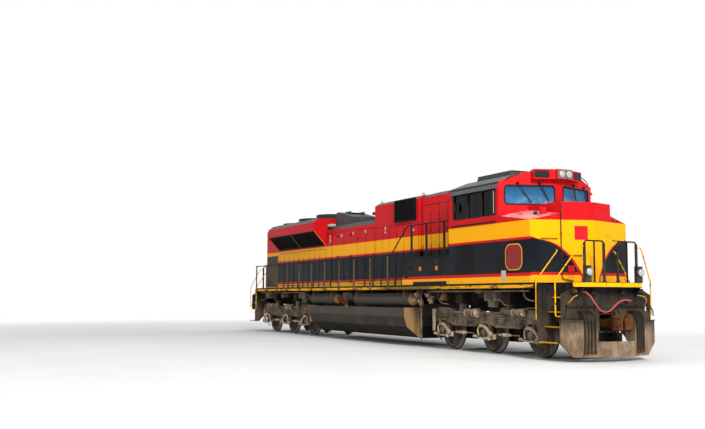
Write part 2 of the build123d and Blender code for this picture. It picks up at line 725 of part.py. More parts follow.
def radiator_screens():
    """Louvred panels in the slanting intakes, and wire guards over the fans."""
    made = []
    for side in (1, -1):
        for x0, x1 in screen_bays:
            s0, s1 = screen_s
            panel = screen_box(side, x0, x1, s0, s1, -50, -40)
            for i in range(10):
                s = s0 + (i + 0.5) * (s1 - s0) / 10
                panel += screen_box(side, x0, x1, s - 8, s + 8, -40, -8)
            made.append(panel)
    for x, top in zip(fan_x, cowl_top):
        guard = disc(x, 0, top, cowl_r, 14) - disc(x, 0, top - 5, fan_r - 20, 30)
        for i in range(-5, 6):
            y = i * 105
            half = math.sqrt((fan_r + 10) ** 2 - y * y)
            guard += block(x - half, x + half, y - 7, y + 7, top, top + 14)
        made.append(guard)
    return made


def radiator_fan(index):
    """Eight-bladed fan on its motor, turning under the guard."""
    x, top = fan_x[index], cowl_top[index]
    z = rad_roof + 5 + seat_gap
    fan = disc(x, 0, z, 100, 30) + disc(x, 0, z + 30, 170, top - z - 30 - 40)
    for i in range(8):
        blade = Pos(0, 0, 0) * Rot(28, 0, 0) * Box(fan_r - 130, 190, 10, align=(Align.MIN, Align.CENTER, Align.CENTER))
        fan += Pos(x, 0, (z + 30 + top - 40) / 2) * Rot(0, 0, i * 45) * Pos(120, 0, 0) * blade
    return fan


# Handrails: round rails resting on square posts
rail_y = deck_hw + 20
rail_z, rail_r = 2800, 19
post_hw = 18
post_x = tuple(2430 - 1200 * i for i in range(11))
upper_y, upper_z = 1480, 3650
grip_r, grip_y = 16, 1480


def walkway_handrail():
    """One side's rail, from the rear end over the raised walkway to the cab, with its posts."""
    rail = tube([(-9600, rail_y, deck_top - 130), (-9600, rail_y, rail_z), (2650, rail_y, rail_z),
                 (3570, upper_y, upper_z), (cab_x0, upper_y, upper_z)], rail_r, 150)
    made = [rail]
    for x in post_x:
        made.append(block(x - post_hw, x + post_hw, deck_hw + seat_gap, deck_hw + 2 * post_hw,
                          deck_top - 130, rail_z - rail_r - seat_gap))
    for x in (3830, 4700, 5680):
        made.append(block(x - post_hw, x + post_hw, upper_y - post_hw, upper_y + post_hw,
                          floor_z, upper_z - rail_r - seat_gap))
    return made


def end_handrails(end):
    """Rails on the platform's edge and the rails that run down beside the steps."""
    body = along_z(nose_plan(0), deck_top, 3000) + block(hood_end, -9000, -hood_hw, hood_hw, deck_top, 3000)
    body_x = nose_x + 200 if end > 0 else hood_end
    post, side_y, top = 10750, 800, 2840
    made = []
    for side in (1, -1):
        made.append(tube([(end * post, side * side_y, deck_top), (end * post, side * side_y, top),
                          (end * post, side * 210, top), (end * post, side * 210, deck_top)], rail_r, 80))
        made.append(block(end * post - 15, end * post + 15, side * 505 - 15, side * 505 + 15,
                          deck_top, top - rail_r - seat_gap))
        made.append(tube([(end * well_x1, side * 1360, 1060), (end * 10500, side * 1360, 1060),
                          (end * 10500, side * grip_y, 1060), (end * 10500, side * grip_y, 1900),
                          (end * post, side * (side_y + 160), 2700),
                          (end * post, side * (side_y + rail_r + seat_gap), 2700)], grip_r, 40))
        made.append(tube([(end * well_x0, side * grip_y, 960), (end * 9790, side * grip_y, 960),
                          (end * 9790, side * grip_y, 1900), (body_x + end * 60, side * 900, 2650),
                          (body_x - end * 60, side * 900, 2650)], grip_r, 40) - body)
    return made


# Ditch lights, horn and bell
def ditch_lights():
    made = []
    for side in (1, -1):
        box_y = side * 790
        box = block(10778, 10868, box_y - 90, box_y + 90, deck_top, 2250)
        lamp = Pos(10885, box_y, 2100) * Rot(0, 90, 0) * Cylinder(72, 60)
        made.append(box + lamp)
    return made


def horn():
    """Five trumpets on one manifold."""
    z = low_roof + 250
    made = block(180, 260, -620, -220, z - 30, z + 30) + disc(220, -420, low_roof, 30, z - low_roof)
    for i, (y, length) in enumerate(((-600, 520), (-510, 440), (-420, 380), (-330, 300), (-240, 260))):
        made += Plane(origin=(180, y, z), z_dir=(-1, 0, 0)) * Cone(
            22, 62, length, align=(Align.CENTER, Align.CENTER, Align.MIN))
    return made


def bell():
    """Bronze bell under the frame ahead of the fuel tank, on a bracket."""
    outline = [(0, 1410), (150, 1410), (120, 1480), (95, 1560), (60, 1610), (0, 1620)]
    with BuildPart() as made:
        with BuildSketch(Plane.XZ):
            with BuildLine():
                Polyline(*outline, close=True)
            make_face()
        revolve(axis=Axis.Z)
    body = Pos(5270, -1230, 0) * made.part
    return body + disc(5270, -1230, 1600, 25, deck_top - deck_t - 1600)


# Jumper cable and air hoses at the front, plain tubes along their routes
def cord(points, r):
    """Tube of straight runs joined by the largest arcs that they allow."""
    knots = [Vector(*p) for p in points]
    radii = []
    for a, b, c in zip(knots, knots[1:], knots[2:]):
        turn = math.radians((b - a).get_angle(c - b))
        radii.append(0.45 * min((b - a).length, (c - b).length) / math.tan(turn / 2))
    print("cord radii", [round(q) for q in radii])
    path = FilletPolyline(*knots, radius=radii)
    return sweep(Plane(origin=knots[0], z_dir=knots[1] - knots[0]) * Circle(r), path=path)


jumper_route = (
    (socket_end, -800, 1630), (10755, -800, 1630), (10835, -780, 1585), (10888, -725, 1490), (10900, -630, 1345),
    (10895, -500, 1215), (10890, -350, 1150), (10890, -200, 1180), (10890, -60, 1285), (10888, 90, 1400),
    (10880, 230, 1443), (10872, 345, 1444), (10858, 455, 1435), (10820, 535, 1424), (10745, 583, 1412),
    (socket_end, 583, 1412))


def hose_x(y):
    """How far ahead of the plough's blade a hose hangs."""
    return 10960 - (abs(y) - 330) * 0.288 + 55


def hose_route(y):
    """Out of its valve, round a quarter turn and straight down, with a slight sway."""
    room = hose_x(y) - hose_root
    bend = room / 1.268
    z = hose_top - 0.732 * bend
    drop = z - hose_end
    return ((hose_root, y, hose_top), (hose_root + 0.536 * bend, y, hose_top),
            (hose_root + bend, y, hose_top - 0.268 * bend), (hose_root + room, y, z),
            (hose_root + room + 3, y, z - 0.22 * drop), (hose_root + room, y, z - 0.62 * drop),
            (hose_root + room - 2, y, hose_end))


def air_hoses():
    """Brake and control hoses, each with its coupling at the lower end."""
    made = []
    for y in hose_y:
        hose = cord(hose_route(y), hose_r)
        x = hose_x(y) - 2
        hose += disc(x, y, hose_end - 60, hose_fit_r, 80)
        made.append(hose)
    return made


# Couplers
def coupler():
    """Head and shank of the front coupler; the rear one is turned round."""
    z0, z1 = coupler_z - 80, coupler_z + 80
    shank = block(9900, 10960, -70, 70, z0, z1)
    shank += disc(9950, 0, z0, 120, 160)
    head_plan = [(10930, -90), (11000, -240), (11120, -265), (11300, -235), (11290, -175), (11130, -150),
                 (11075, -60), (11075, 60), (11020, 110), (11020, 235), (10990, 240), (10930, 90)]
    head = along_z(head_plan, coupler_z - 140, coupler_z + 140)
    ear = [(10990, 100), (11160, 100), (11190, 170), (11150, 245), (10990, 245)]
    head += along_z(ear, coupler_z + 145, coupler_z + 185) + along_z(ear, coupler_z - 185, coupler_z - 145)
    head += along_z([(10930, -90), (11000, -240), (11100, -240), (11100, 60), (11020, 110), (11020, 245), (10990, 245), (10930, 90)],
                    coupler_z - 185, coupler_z + 185)
    head -= block(11030, 11400, 60, 300, coupler_z - 145, coupler_z + 145)
    head += disc(11115, 170, coupler_z - 180, 20, 360)
    bore = disc(9950, 0, z0 - 10, 40 + seat_gap, 180)
    return shank + head - bore


def knuckle():
    """The hooked jaw, closed, turning on its pin."""
    outline = [(11050, 130), (11085, 90), (11180, 80), (11225, 20), (11235, -95), (11290, -100), (11315, -60),
               (11315, 60), (11275, 150), (11200, 215), (11110, 228), (11060, 200)]
    jaw = along_z(outline, coupler_z - 139, coupler_z + 139)
    return jaw - disc(11115, 170, coupler_z - 200, 20 + seat_gap, 400)


# Bogies
def wheelset(x):
    """Two wheels with their journals, and the axle that is pressed between them."""
    r = wheel_d / 2
    outline = [(hub_in, 0), (hub_in, 140), (690, 180), (712, 430), (tread_in, 455), (tread_in, r + 12),
               (694, r + flange), (715, r), (tread_out, r - 6), (tread_out, 455), (755, 430), (755, 180),
               (840, 140), (840, journal_r), (1090, journal_r), (1090, 0)]
    with BuildPart() as made:
        with BuildSketch(Plane.YZ):
            with BuildLine():
                Polyline(*outline, close=True)
            make_face()
        revolve(axis=Axis.Y)
    axle = Rot(90, 0, 0) * Cylinder(axle_r, 2 * (hub_in - seat_gap))
    return [Pos(x, 0, axle_z) * piece for piece in (made.part, mirror(made.part, Plane.XZ), axle)]


frame_y0, frame_y1 = 985, 1105
transom_x, transom_z = 1020, 980
frame_upper = ((2640, 930), (2640, 1100), (2520, 1180), (1560, 1180), (1430, 1050), (400, 1050), (300, 1100), (0, 1100))
frame_lower = ((0, 790), (240, 790), (480, 700), (1560, 700), (1800, 830), (2300, 850), (2420, 800), (2560, 800))
frame_rounding = 45
box_hw, box_top, leg_w, pad_r = 150, 690, 75, 52
tie_z0, tie_z1 = 400, 436
# brake cylinders on one side frame: x from, x to, radius, z
brake_cylinders = ((-780, -240, 112, 1080), (1330, 1790, 88, 1120))


def frame_low(x):
    """Height of the side frame's lower edge at a distance from the bogie's centre."""
    x = abs(x)
    for (xa, za), (xb, zb) in zip(frame_lower, frame_lower[1:]):
        if xa <= x <= xb:
            return za + (zb - za) * (x - xa) / (xb - xa)
    return frame_lower[-1][1]


def side_frame():
    """One swept casting with a web pocket and a pedestal over each axle box."""
    low, top = list(frame_lower), list(frame_upper)
    outline = top + [(-x, z) for x, z in reversed(top[:-1])] + [(-x, z) for x, z in reversed(low[1:])] + low
    with BuildPart() as made:
        with BuildSketch(Plane.XZ.offset(-frame_y0)):
            with BuildLine():
                Polyline(*outline, close=True)
            make_face()
            fillet([v for v in vertices() if abs(v.X) < 2500], frame_rounding)
        extrude(amount=-(frame_y1 - frame_y0))
    frame = made.part
    # shallow pockets that leave the casting's raised rims
    for x0, x1, z0, z1 in ((500, 1380, 770, 980), (1640, 2480, 910, 1120)):
        for sign in (1, -1):
            a, b = sorted((sign * x0, sign * x1))
            frame -= block(a, b, frame_y1 - 22, frame_y1 + 20, z0, z1)
    for ax in (-axle_step, 0, axle_step):
        for sign in (1, -1):
            inner, outer = sign * (box_hw + seat_gap), sign * (box_hw + leg_w)
            leg = [(ax + inner, frame_low(ax) + 60), (ax + outer + sign * 60, frame_low(ax) + 60),
                   (ax + outer, 560), (ax + outer - sign * 15, tie_z0), (ax + inner, tie_z0)]
            frame += along_y(leg, frame_y0 + 15, frame_y1 + 12)
        frame += block(ax - box_hw - 30, ax + box_hw + 30, frame_y0 + 25, frame_y1, tie_z0, tie_z1)
    for x0, x1, r, z in brake_cylinders:
        middle = frame_y1 + 75
        frame += rod((x0, middle, z), (x1 - 120, middle, z), r * 0.86)
        frame += rod((x1 - 120, middle, z), (x1, middle, z), r)
        frame += rod((x0 - 160, middle, z), (x0, middle, z), 24)
        frame += block(x0 + 60, x1 - 160, frame_y1 - 40, middle, z - 40, z + 20)
    return frame


def bogie_frame(cx):
    """Both side frames with their transoms, the pin's bore, end beams and the springs for the body."""
    made = side_frame() + mirror(side_frame(), Plane.XZ)
    for x in (-2590, 2590):
        made += block(x - 50, x + 50, -frame_y0, frame_y0, 880, 1050)
    for x in (-transom_x, transom_x):
        made += block(x - 70, x + 70, -frame_y0, frame_y0, transom_z, 1050)
    made += block(-1000, 1000, -260, 260, transom_z + 5, 1100)
    made -= disc(0, 0, 900, pin_r + pin_gap, 400)
    # rubber springs that the body rides on
    for x in (-1100, 1100):
        for y in (-1050, 1050):
            made += block(x - 130, x + 130, y - 65, y + 65, 980, spring_z)
            for i in range(spring_n):
                made += disc(x, y, spring_z + spring_pitch * i, 115, spring_pitch - 26)
                made += disc(x, y, spring_z + spring_pitch * (i + 1) - 26, 95, 26)
    return Pos(cx, 0, 0) * made if cx > 0 else Rot(0, 0, 180) * (Pos(-cx, 0, 0) * made)


def journal_boxes(cx):
    """Axle boxes between the pedestal legs, with a rubber pad under the side frame and a round cover."""
    made = []
    for ax in (-axle_step, 0, axle_step):
        for side in (1, -1):
            y0, y1 = sorted((side * 900, side * (frame_y1 + 5)))
            outline = [(ax - box_hw, tie_z1 + 40), (ax - 90, tie_z1 + seat_gap), (ax + 90, tie_z1 + seat_gap),
                       (ax + box_hw, tie_z1 + 40), (ax + box_hw, box_top - 50), (ax + 90, box_top), (ax - 90, box_top),
                       (ax - box_hw, box_top - 50)]
            box = along_y(outline, y0, y1)
            box -= Pos(ax, 0, axle_z) * Rot(90, 0, 0) * Cylinder(journal_r + seat_gap, 3000)
            box += Pos(ax, side * (frame_y1 + 20), axle_z) * Rot(90, 0, 0) * Cylinder(100, 40)
            under = min(frame_low(ax - pad_r), frame_low(ax + pad_r))
            box += disc(ax, side * (frame_y0 + 60), box_top, pad_r, under - seat_gap - box_top)
            made.append(Pos(cx, 0, 0) * box)
    return made


def traction_motors(cx):
    """Three axle-hung motors with their gear cases."""
    made = []
    for ax, lean in ((-axle_step, 1), (0, 1), (axle_step, -1)):
        x0, x1 = sorted((ax + lean * 105, ax + lean * 850))
        outline = [(x0, 480), (x0 + 120, 330), (x1 - 120, 330), (x1, 480), (x1, 760), (x1 - 120, 900), (x0 + 120, 900), (x0, 760)]
        motor = along_y(outline, -560, 560)
        # nose of the motor, hung under the transom ahead of it
        n0, n1 = sorted((ax + lean * 600, ax + lean * 985))
        motor += block(n0, n1, -200, 200, 820, transom_z)
        motor -= Pos(ax, 0, axle_z) * Rot(90, 0, 0) * Cylinder(160, 3000)
        made.append(Pos(cx, 0, 0) * motor)
    return made


os.makedirs("parts", exist_ok=True)
save("underframe", underframe())
save("fuel_tank", fuel_tank())
save("air_reservoirs", *air_reservoirs())
save("engine_block", engine_block())
save("pilot_front", pilot(1))
save("pilot_rear", pilot(-1))
save("snow_plow", snow_plow())
save("cab_shell", cab_shell())
save("cab_sunshades", *sunshades())
save("cab_glass", *cab_glass())
save("cab_seats", *cab_seats())
save("control_desk", *control_desk())
save("cab_door_right", cab_door(-1))
save("cab_door_left", cab_door(1))
save("nose_shell", nose_shell())
save("nose_door", nose_door())
save("headlight_housing", headlight_housing())
save("air_conditioner", air_conditioner())
save("walkway_cabinets", *walkway_cabinets())
save("equipment_hood", equipment_hood())
save("engine_hood_tall", engine_hood_tall())
save("intake_screens", *intake_screens())
save("engine_hood_low", engine_hood_low())
for side, word in ((-1, "right"), (1, "left")):
    for index in (0, 1):
        for leaf, place in ((0, "a"), (1, "b")):
            save(f"engine_door_{word}_{index + 1}{place}", engine_door(index, leaf, side))
save("exhaust_silencer", exhaust_silencer())
save("radiator_hood", radiator_hood())
save("radiator_screens", *radiator_screens())
for index in (0, 1, 2):
    save(f"radiator_fan_{index + 1}", radiator_fan(index))
save("walkway_handrails", *[p for made in walkway_handrail() for p in both_sides(made)])
save("end_handrails", *end_handrails(1), *end_handrails(-1))
save("ditch_lights", *ditch_lights())
save("horn", horn())
save("bell", bell())
save("jumper_cable", cord(jumper_route, jumper_r))
save("air_hoses", *air_hoses())
save("coupler_front", coupler())
save("knuckle_front", knuckle())
save("coupler_rear", Rot(0, 0, 180) * coupler())
save("knuckle_rear", Rot(0, 0, 180) * knuckle())
for word, cx in (("front", bogie_x), ("rear", -bogie_x)):
    save(f"bogie_frame_{word}", bogie_frame(cx))
    save(f"journal_boxes_{word}", *journal_boxes(cx))
    save(f"traction_motors_{word}", *traction_motors(cx))
    for i, ax in enumerate((axle_step, 0, -axle_step)):
        save(f"wheelset_{word}_{i + 1}", *wheelset(cx + ax))
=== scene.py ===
import math
import bpy
import numpy as np
from mathutils import Matrix, Vector


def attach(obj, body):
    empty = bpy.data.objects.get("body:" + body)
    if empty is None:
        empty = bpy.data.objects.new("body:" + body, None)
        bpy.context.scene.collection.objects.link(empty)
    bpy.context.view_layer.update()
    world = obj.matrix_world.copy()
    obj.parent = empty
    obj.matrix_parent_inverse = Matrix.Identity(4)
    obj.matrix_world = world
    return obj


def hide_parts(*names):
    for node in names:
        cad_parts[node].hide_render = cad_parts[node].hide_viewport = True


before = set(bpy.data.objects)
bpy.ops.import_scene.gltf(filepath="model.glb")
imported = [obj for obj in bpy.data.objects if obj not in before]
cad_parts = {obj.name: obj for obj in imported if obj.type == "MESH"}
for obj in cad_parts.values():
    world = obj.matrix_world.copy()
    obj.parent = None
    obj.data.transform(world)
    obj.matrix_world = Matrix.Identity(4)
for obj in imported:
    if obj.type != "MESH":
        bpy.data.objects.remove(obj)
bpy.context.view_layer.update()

scene = bpy.context.scene
scene.view_settings.view_transform = "Standard"
sides = (1, -1)    # left and right, or front and rear

# Camera: metres and radians, fitted to the photograph's wheels, deck, cab and couplers
view = dict(place=(26.9505, -14.7938, 1.4933), yaw=1.115340, pitch=0.0931302, roll=0.00366885,
            focalPx=883.242, widthPx=705, sensor=36.0, reach=500.0)


def makeCamera():
    yaw, pitch, roll = view["yaw"], view["pitch"], view["roll"]
    ahead = Vector((-math.sin(yaw) * math.cos(pitch), math.cos(yaw) * math.cos(pitch), math.sin(pitch)))
    level = Vector((math.cos(yaw), math.sin(yaw), 0))
    up = level.cross(ahead)
    right = level * math.cos(roll) + up * math.sin(roll)
    top = up * math.cos(roll) - level * math.sin(roll)
    data = bpy.data.cameras.new("photoCamera")
    data.sensor_width = view["sensor"]
    data.lens = view["sensor"] * view["focalPx"] / view["widthPx"]
    data.clip_end = view["reach"]
    camera = bpy.data.objects.new("photoCamera", data)
    matrix = Matrix((right, top, -ahead)).transposed().to_4x4()
    matrix.translation = view["place"]
    camera.matrix_world = matrix
    scene.collection.objects.link(camera)
    scene.camera = camera


makeCamera()
print("stage: camera")


# Cords: the jumper cable between its two sockets, and the air hoses that hang in front of the plough
cable = dict(radius=0.019, length=1.954, points=(
    (10.665, -0.800, 1.630), (10.755, -0.800, 1.630), (10.835, -0.780, 1.585), (10.888, -0.725, 1.490),
    (10.900, -0.630, 1.345), (10.895, -0.500, 1.215), (10.890, -0.350, 1.150), (10.890, -0.200, 1.180),
    (10.890, -0.060, 1.285), (10.888, 0.090, 1.400), (10.880, 0.230, 1.443), (10.872, 0.345, 1.444),
    (10.858, 0.455, 1.435), (10.820, 0.535, 1.424), (10.745, 0.583, 1.412), (10.665, 0.583, 1.412)))
hoses = dict(
    radius=0.021, root=10.640, top=1.170, end=0.260,
    across=(-0.90, -0.82, -0.74, -0.66, 0.64, 0.72, 0.80, 0.88),
    plowTip=10.960, plowInner=0.330, plowSlope=0.288,    # the plough's face falls back from here, per metre of y
    clear=0.055, share=0.994)                            # room to the face, and the curve's share of its runs


# A smooth tube with the route's points as its control points. The bevel is 1 m and each point scales it to
# the tube's radius, because a curve's box grows by its points' radius alone.
def makeCord(name, node, points, radius, far, length):
    data = bpy.data.curves.new(name, "CURVE")
    data.dimensions, data.bevel_depth, data.bevel_resolution = "3D", 1.0, 5
    data.resolution_u, data.use_fill_caps = 12, True
    spline = data.splines.new("NURBS")
    spline.points.add(len(points) - 1)
    for control, place in zip(spline.points, points):
        control.co, control.radius = (*place, 1.0), radius
    spline.order_u, spline.use_endpoint_u = 3, True
    thing = bpy.data.objects.new(name, data)
    scene.collection.objects.link(thing)
    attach(thing, "locomotive")
    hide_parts(node)
    return thing, dict(exit=points[0], length=length, diameter=2 * radius, far_end=far, stiffness="medium",
                       lay="hanging")


# Straight out of the valve, round a quarter turn cut at 15 degrees from each end, and down
def hosePoints(y):
    root, top, end, cut = hoses["root"], hoses["top"], hoses["end"], 0.268
    face = hoses["plowTip"] - (abs(y) - hoses["plowInner"]) * hoses["plowSlope"]
    room = face + hoses["clear"] - root
    bend = room / (1 + cut)
    z = top - (1 - cut) * bend
    drop = z - end
    return ((root, y, top), (root + 2 * cut * bend, y, top), (root + bend, y, top - cut * bend),
            (root + room, y, z), (root + room + 0.003, y, z - 0.22 * drop), (root + room, y, z - 0.62 * drop),
            (root + room - 0.002, y, end))


cords = {"jumperCable": makeCord("jumperCable", "jumper_cable", cable["points"], cable["radius"], "object",
                                 cable["length"])}
for i, y in enumerate(hoses["across"]):
    route = hosePoints(y)
    runs = sum(math.dist(a, b) for a, b in zip(route, route[1:]))
    cords[f"airHose{i + 1}"] = makeCord(f"airHose{i + 1}", "air_hoses", route, hoses["radius"], "connector",
                                        hoses["share"] * runs)
print("stage: cords")


# Materials, in object coordinates. A cloud's width is the real size of its blotches in mm, but orange peel, grit
# and a casting's or a rubber's grain are 3 mm at most, too fine to show in the picture, so they are drawn 3 to
# 42 mm wide.
def toLinear(code):
    parts = [int(code[i:i + 2], 16) / 255 for i in (1, 3, 5)]
    return tuple(p / 12.92 if p <= 0.04045 else ((p + 0.055) / 1.055) ** 2.4 for p in parts) + (1.0,)


class Recipe:    # the node tree of a material or of the world
    def __init__(self, owner):
        owner.use_nodes = True
        self.owner, self.tree = owner, owner.node_tree
        self.tree.nodes.clear()
        if isinstance(owner, bpy.types.Material):
            self.place = self.add("TexCoord").node.outputs["Object"]
            self.x, self.y, self.z = self.add("SeparateXYZ", self.place).node.outputs
            self.across = self.add("Math", self.y, operation="ABSOLUTE")

    # Adds a node. Plain values fill its active inputs in order, a named one goes to the input or setting of
    # that name, and a hex colour is turned to linear. Gives the node's first active output.
    def add(self, kind, *values, **named):
        made = self.tree.nodes.new("ShaderNode" + kind)
        for key, value in named.items():
            if key not in made.inputs:
                setattr(made, key, value)
        wires = list(zip([socket for socket in made.inputs if socket.enabled], values))
        wires += [(made.inputs[key], value) for key, value in named.items() if key in made.inputs]
        for socket, value in wires:
            if isinstance(value, bpy.types.NodeSocket):
                self.tree.links.new(value, socket)
            else:
                socket.default_value = toLinear(value) if isinstance(value, str) else value
        return next((socket for socket in made.outputs if socket.enabled), None)

    def above(self, value, level, soft=0.004):    # 0 below the level, 1 above it
        return self.add("MapRange", value, level - soft, level + soft)

    def below(self, value, level, soft=0.004):
        return self.above(value, level, -soft)

    def between(self, value, low, high, soft=0.004):
        return self.times(self.above(value, low, soft), self.below(value, high, soft))

    def facing(self, axis, low, high):    # rises as the surface turns towards +X, +Y or +Z
        normal = self.add("SeparateXYZ", self.add("NewGeometry").node.outputs["Normal"]).node.outputs[axis]
        return self.add("MapRange", normal, low, high)

    def times(self, *masks):
        out = masks[0]
        for mask in masks[1:]:
            out = self.add("Math", out, mask, operation="MULTIPLY")
        return out

    def either(self, *masks):
        out = masks[0]
        for mask in masks[1:]:
            out = self.add("Math", out, mask, operation="MAXIMUM", use_clamp=True)
        return out

    # Soft noise from 0 to 1 whose blotches are wide mm across; squeeze packs them closer along an axis
    def cloud(self, wide, detail=4.0, rough=0.55, squeeze=(1, 1, 1)):
        moved = self.add("Mapping", self.place, Scale=squeeze)
        return self.add("TexNoise", moved, Scale=1000 / wide, Detail=detail, Roughness=rough)

    def patches(self, low, high, *cloud, **more):    # 0 where the cloud is under low, 1 where it is over high
        return self.add("MapRange", self.cloud(*cloud, **more), low, high)

    def coats(self, colour, *layers):    # lays each paint over the last where its mask is 1
        for mask, paint in layers:
            colour = self.add("Mix", mask, colour, paint, data_type="RGBA")
        return colour

    def rough(self, wide, detail, low, high):    # roughness that wanders with a cloud
        return self.add("MapRange", self.cloud(wide, detail), 0.0, 1.0, low, high)

    # The shader, with height as its bump. Dusty and matt finishes mirror little, so the default is low.
    def finish(self, colour, roughness, height=None, depth=0.002, **constants):
        constants = {"Specular IOR Level": 0.08, "Base Color": colour, "Roughness": roughness, **constants}
        if height is not None:
            constants["Normal"] = self.add("Bump", Height=height, Distance=depth, Strength=1.0)
        self.add("OutputMaterial", self.add("BsdfPrincipled", **constants))
        return self.owner


def paint(name):
    return Recipe(bpy.data.materials.new(name))


# Road dust that thickens from high down to low, and thin run-off streaks about 110 mm apart
def grime(r, colour, dust="#7B6A56", low=1.2, high=2.6, strength=0.55, streaks=0.25):
    blotches = r.add("MapRange", r.cloud(588, 6.0), 0.38, 0.72, 0.35, 1.35)
    depth = r.times(r.add("MapRange", r.z, high, low), strength)
    amount = r.add("Math", depth, blotches, operation="MULTIPLY", use_clamp=True)
    runs = r.patches(0.52, 0.75, 111, 3.0, squeeze=(1, 1, 0.07))
    dirty = [(a + b) / 2 for a, b in zip(toLinear(dust), toLinear("#3A342E"))]
    return r.coats(colour, (amount, dust), (r.times(runs, streaks), dirty))


# Plane of the slanting radiator intakes: its foot's y and z, how far it leans out and rises, and its x range
flare = dict(footY=0.95, footZ=3.44, out=0.50, up=0.54, x0=-8.39, x1=-3.60)

livery = dict(
    red="#C8121A", yellow="#F7A904", litBaseYellow="#FFBA1A", black=("#090C0F", "#121922"),
    grey=("#26292C", "#3C4043"), inside="#4E5453", intakeEdgeShade="#08090A", bleached="#E9B3AB", faded="#B9A894",
    baseX=3.05, roofZ=3.925, cowl=(-3.62, 4.468), treadZ=(2.60, 2.75), eaves=(6.10, 8.35, 4.405),
    side=((2.02, "red"), (2.10, "black"), (2.92, "red"), (2.98, "yellow"), (3.39, "red")),    # each from its z up
    nose=((2.975, "yellow"), (3.39, "red")), noseBase=((2.04, "red"), (2.11, "black")), noseX=9.66, noseTop=3.51,
    funnelZ=2.0, funnel=((0.0, 0.30), (0.18, 0.40), (0.42, 0.55), (0.65, 0.76), (0.83, 1.03), (0.96, 1.5),
                         (1.0, 1.56)),    # height over funnelZ and half width of the yellow on the nose front
    cabX=(6.01, 8.28), noseEnd=9.60, floor=1.905, cabTop=4.30, noseCeiling=3.36, innerY=1.48)


# Sprayed two-pack body paint, still glossy, with flat sun-faded tones: bands by height, the yellow funnel on
# the nose, dark anti-slip grey on the roofs, plain grey inside, and bleached scuffs on top of the nose
def bodyPaint():
    r = paint("bodyPaintLivery")
    deep, worn = livery["black"]
    black = r.coats(deep, (r.patches(0.42, 0.62, 1430, 2.0, squeeze=(1.6, 1, 0.3)), worn))
    tones = dict(red=livery["red"], yellow=livery["yellow"], black=black)

    def bands(colour, key):
        return r.coats(colour, *[(r.above(r.z, level), tones[name]) for level, name in livery[key]])
    # behind baseX the hood's base strip is painted a brighter yellow, painted light against the shade of the walkway
    # and cab
    base = r.coats(livery["litBaseYellow"], (r.above(r.x, livery["baseX"]), livery["yellow"]))
    side = bands(base, "side")
    # the funnel's half width by height, as a curve through its points, at half scale because it ends at 1
    curve = r.add("FloatCurve", 1.0, r.add("Math", r.z, livery["funnelZ"], operation="SUBTRACT")).node
    curve.mapping.use_clip, curve.mapping.extend = False, "HORIZONTAL"
    line, points = curve.mapping.curves[0], [(height, width / 2) for height, width in livery["funnel"]]
    line.points[0].location, line.points[1].location = points[0], points[-1]
    for point in points[1:-1]:
        line.points.new(*point)
    curve.mapping.update()
    past = r.add("Math", r.across, r.times(curve.outputs[0], 2.0), operation="SUBTRACT")
    funnel = r.coats(livery["yellow"], (r.add("MapRange", past, -0.07, -0.062), livery["red"]))
    front = bands(r.coats(bands(livery["yellow"], "noseBase"), (r.below(past, 0.0), funnel)), "nose")
    ahead = r.times(r.above(r.x, livery["noseX"], 0.005), r.below(r.z, livery["noseTop"], 0.01))
    # roofs, fan cowls, the walkway on the cabinets and the cab's eaves are dark grey
    up, behind = r.facing(2, 0.2, 0.3), r.below(r.x, 8.30)
    (cowlX, cowlZ), (eaves0, eaves1, eavesZ) = livery["cowl"], livery["eaves"]
    dark = r.either(r.times(up, r.above(r.z, livery["roofZ"], 0.025), behind),
                    r.times(r.above(r.z, cowlZ), r.below(r.x, cowlX)),
                    r.times(up, r.between(r.z, *livery["treadZ"]), behind),
                    r.times(r.between(r.x, eaves0, eaves1), r.above(r.z, eavesZ)))
    grey = r.coats(livery["grey"][0], (r.patches(0.35, 0.70, 714, 6.0), livery["grey"][1]))
    # inner walls of the cab and nose, which show through the glass and the open doors
    cab0, cab1 = livery["cabX"]
    cab = r.times(r.between(r.x, cab0, cab1), r.between(r.z, livery["floor"], livery["cabTop"]))
    nose = r.times(r.between(r.x, cab1, livery["noseEnd"]), r.between(r.z, livery["floor"], livery["noseCeiling"]))
    inside = r.times(r.either(cab, nose), r.add("Math", r.across, livery["innerY"], operation="LESS_THAN"))
    # cut edges of the intakes, 12 mm and more behind the flare's plane, painted near black as painted shade in the
    # openings
    lean = flare["out"] / flare["up"]
    plane = r.add("Math", r.across, r.times(r.z, lean), operation="SUBTRACT")
    back = r.add("Math", plane, flare["footY"] - flare["footZ"] * lean - 0.012, operation="LESS_THAN")
    cut = r.times(r.between(r.x, flare["x0"] + 0.05, flare["x1"] - 0.05), r.between(r.z, 3.45, 3.97), back)
    scuffs = r.times(r.facing(2, 0.5, 0.9), r.above(r.x, 8.45), r.between(r.z, 3.40, 3.75, 0.02),
                     r.patches(0.34, 0.56, 286, 7.0, rough=0.7), 0.85)
    colour = r.coats(side, (ahead, front), (dark, grey), (inside, livery["inside"]), (cut, livery["intakeEdgeShade"]),
                     (scuffs, livery["bleached"]),
                     (r.times(r.patches(0.35, 0.8, 1250, 5.0), 0.018), livery["faded"]))
    colour = grime(r, colour, low=1.85, high=2.5, strength=0.07, streaks=0.03)
    return r.finish(colour, r.rough(333, 5.0, 0.22, 0.47), r.cloud(38.5, 2.0), 0.001,
                    **{"Specular IOR Level": 0.05})


deckStripes = dict(sillY=1.512, sillZ=(1.732, 1.808), sillEnd=9.74, endX=10.60, endZ=(1.752, 1.850), endY=1.06)


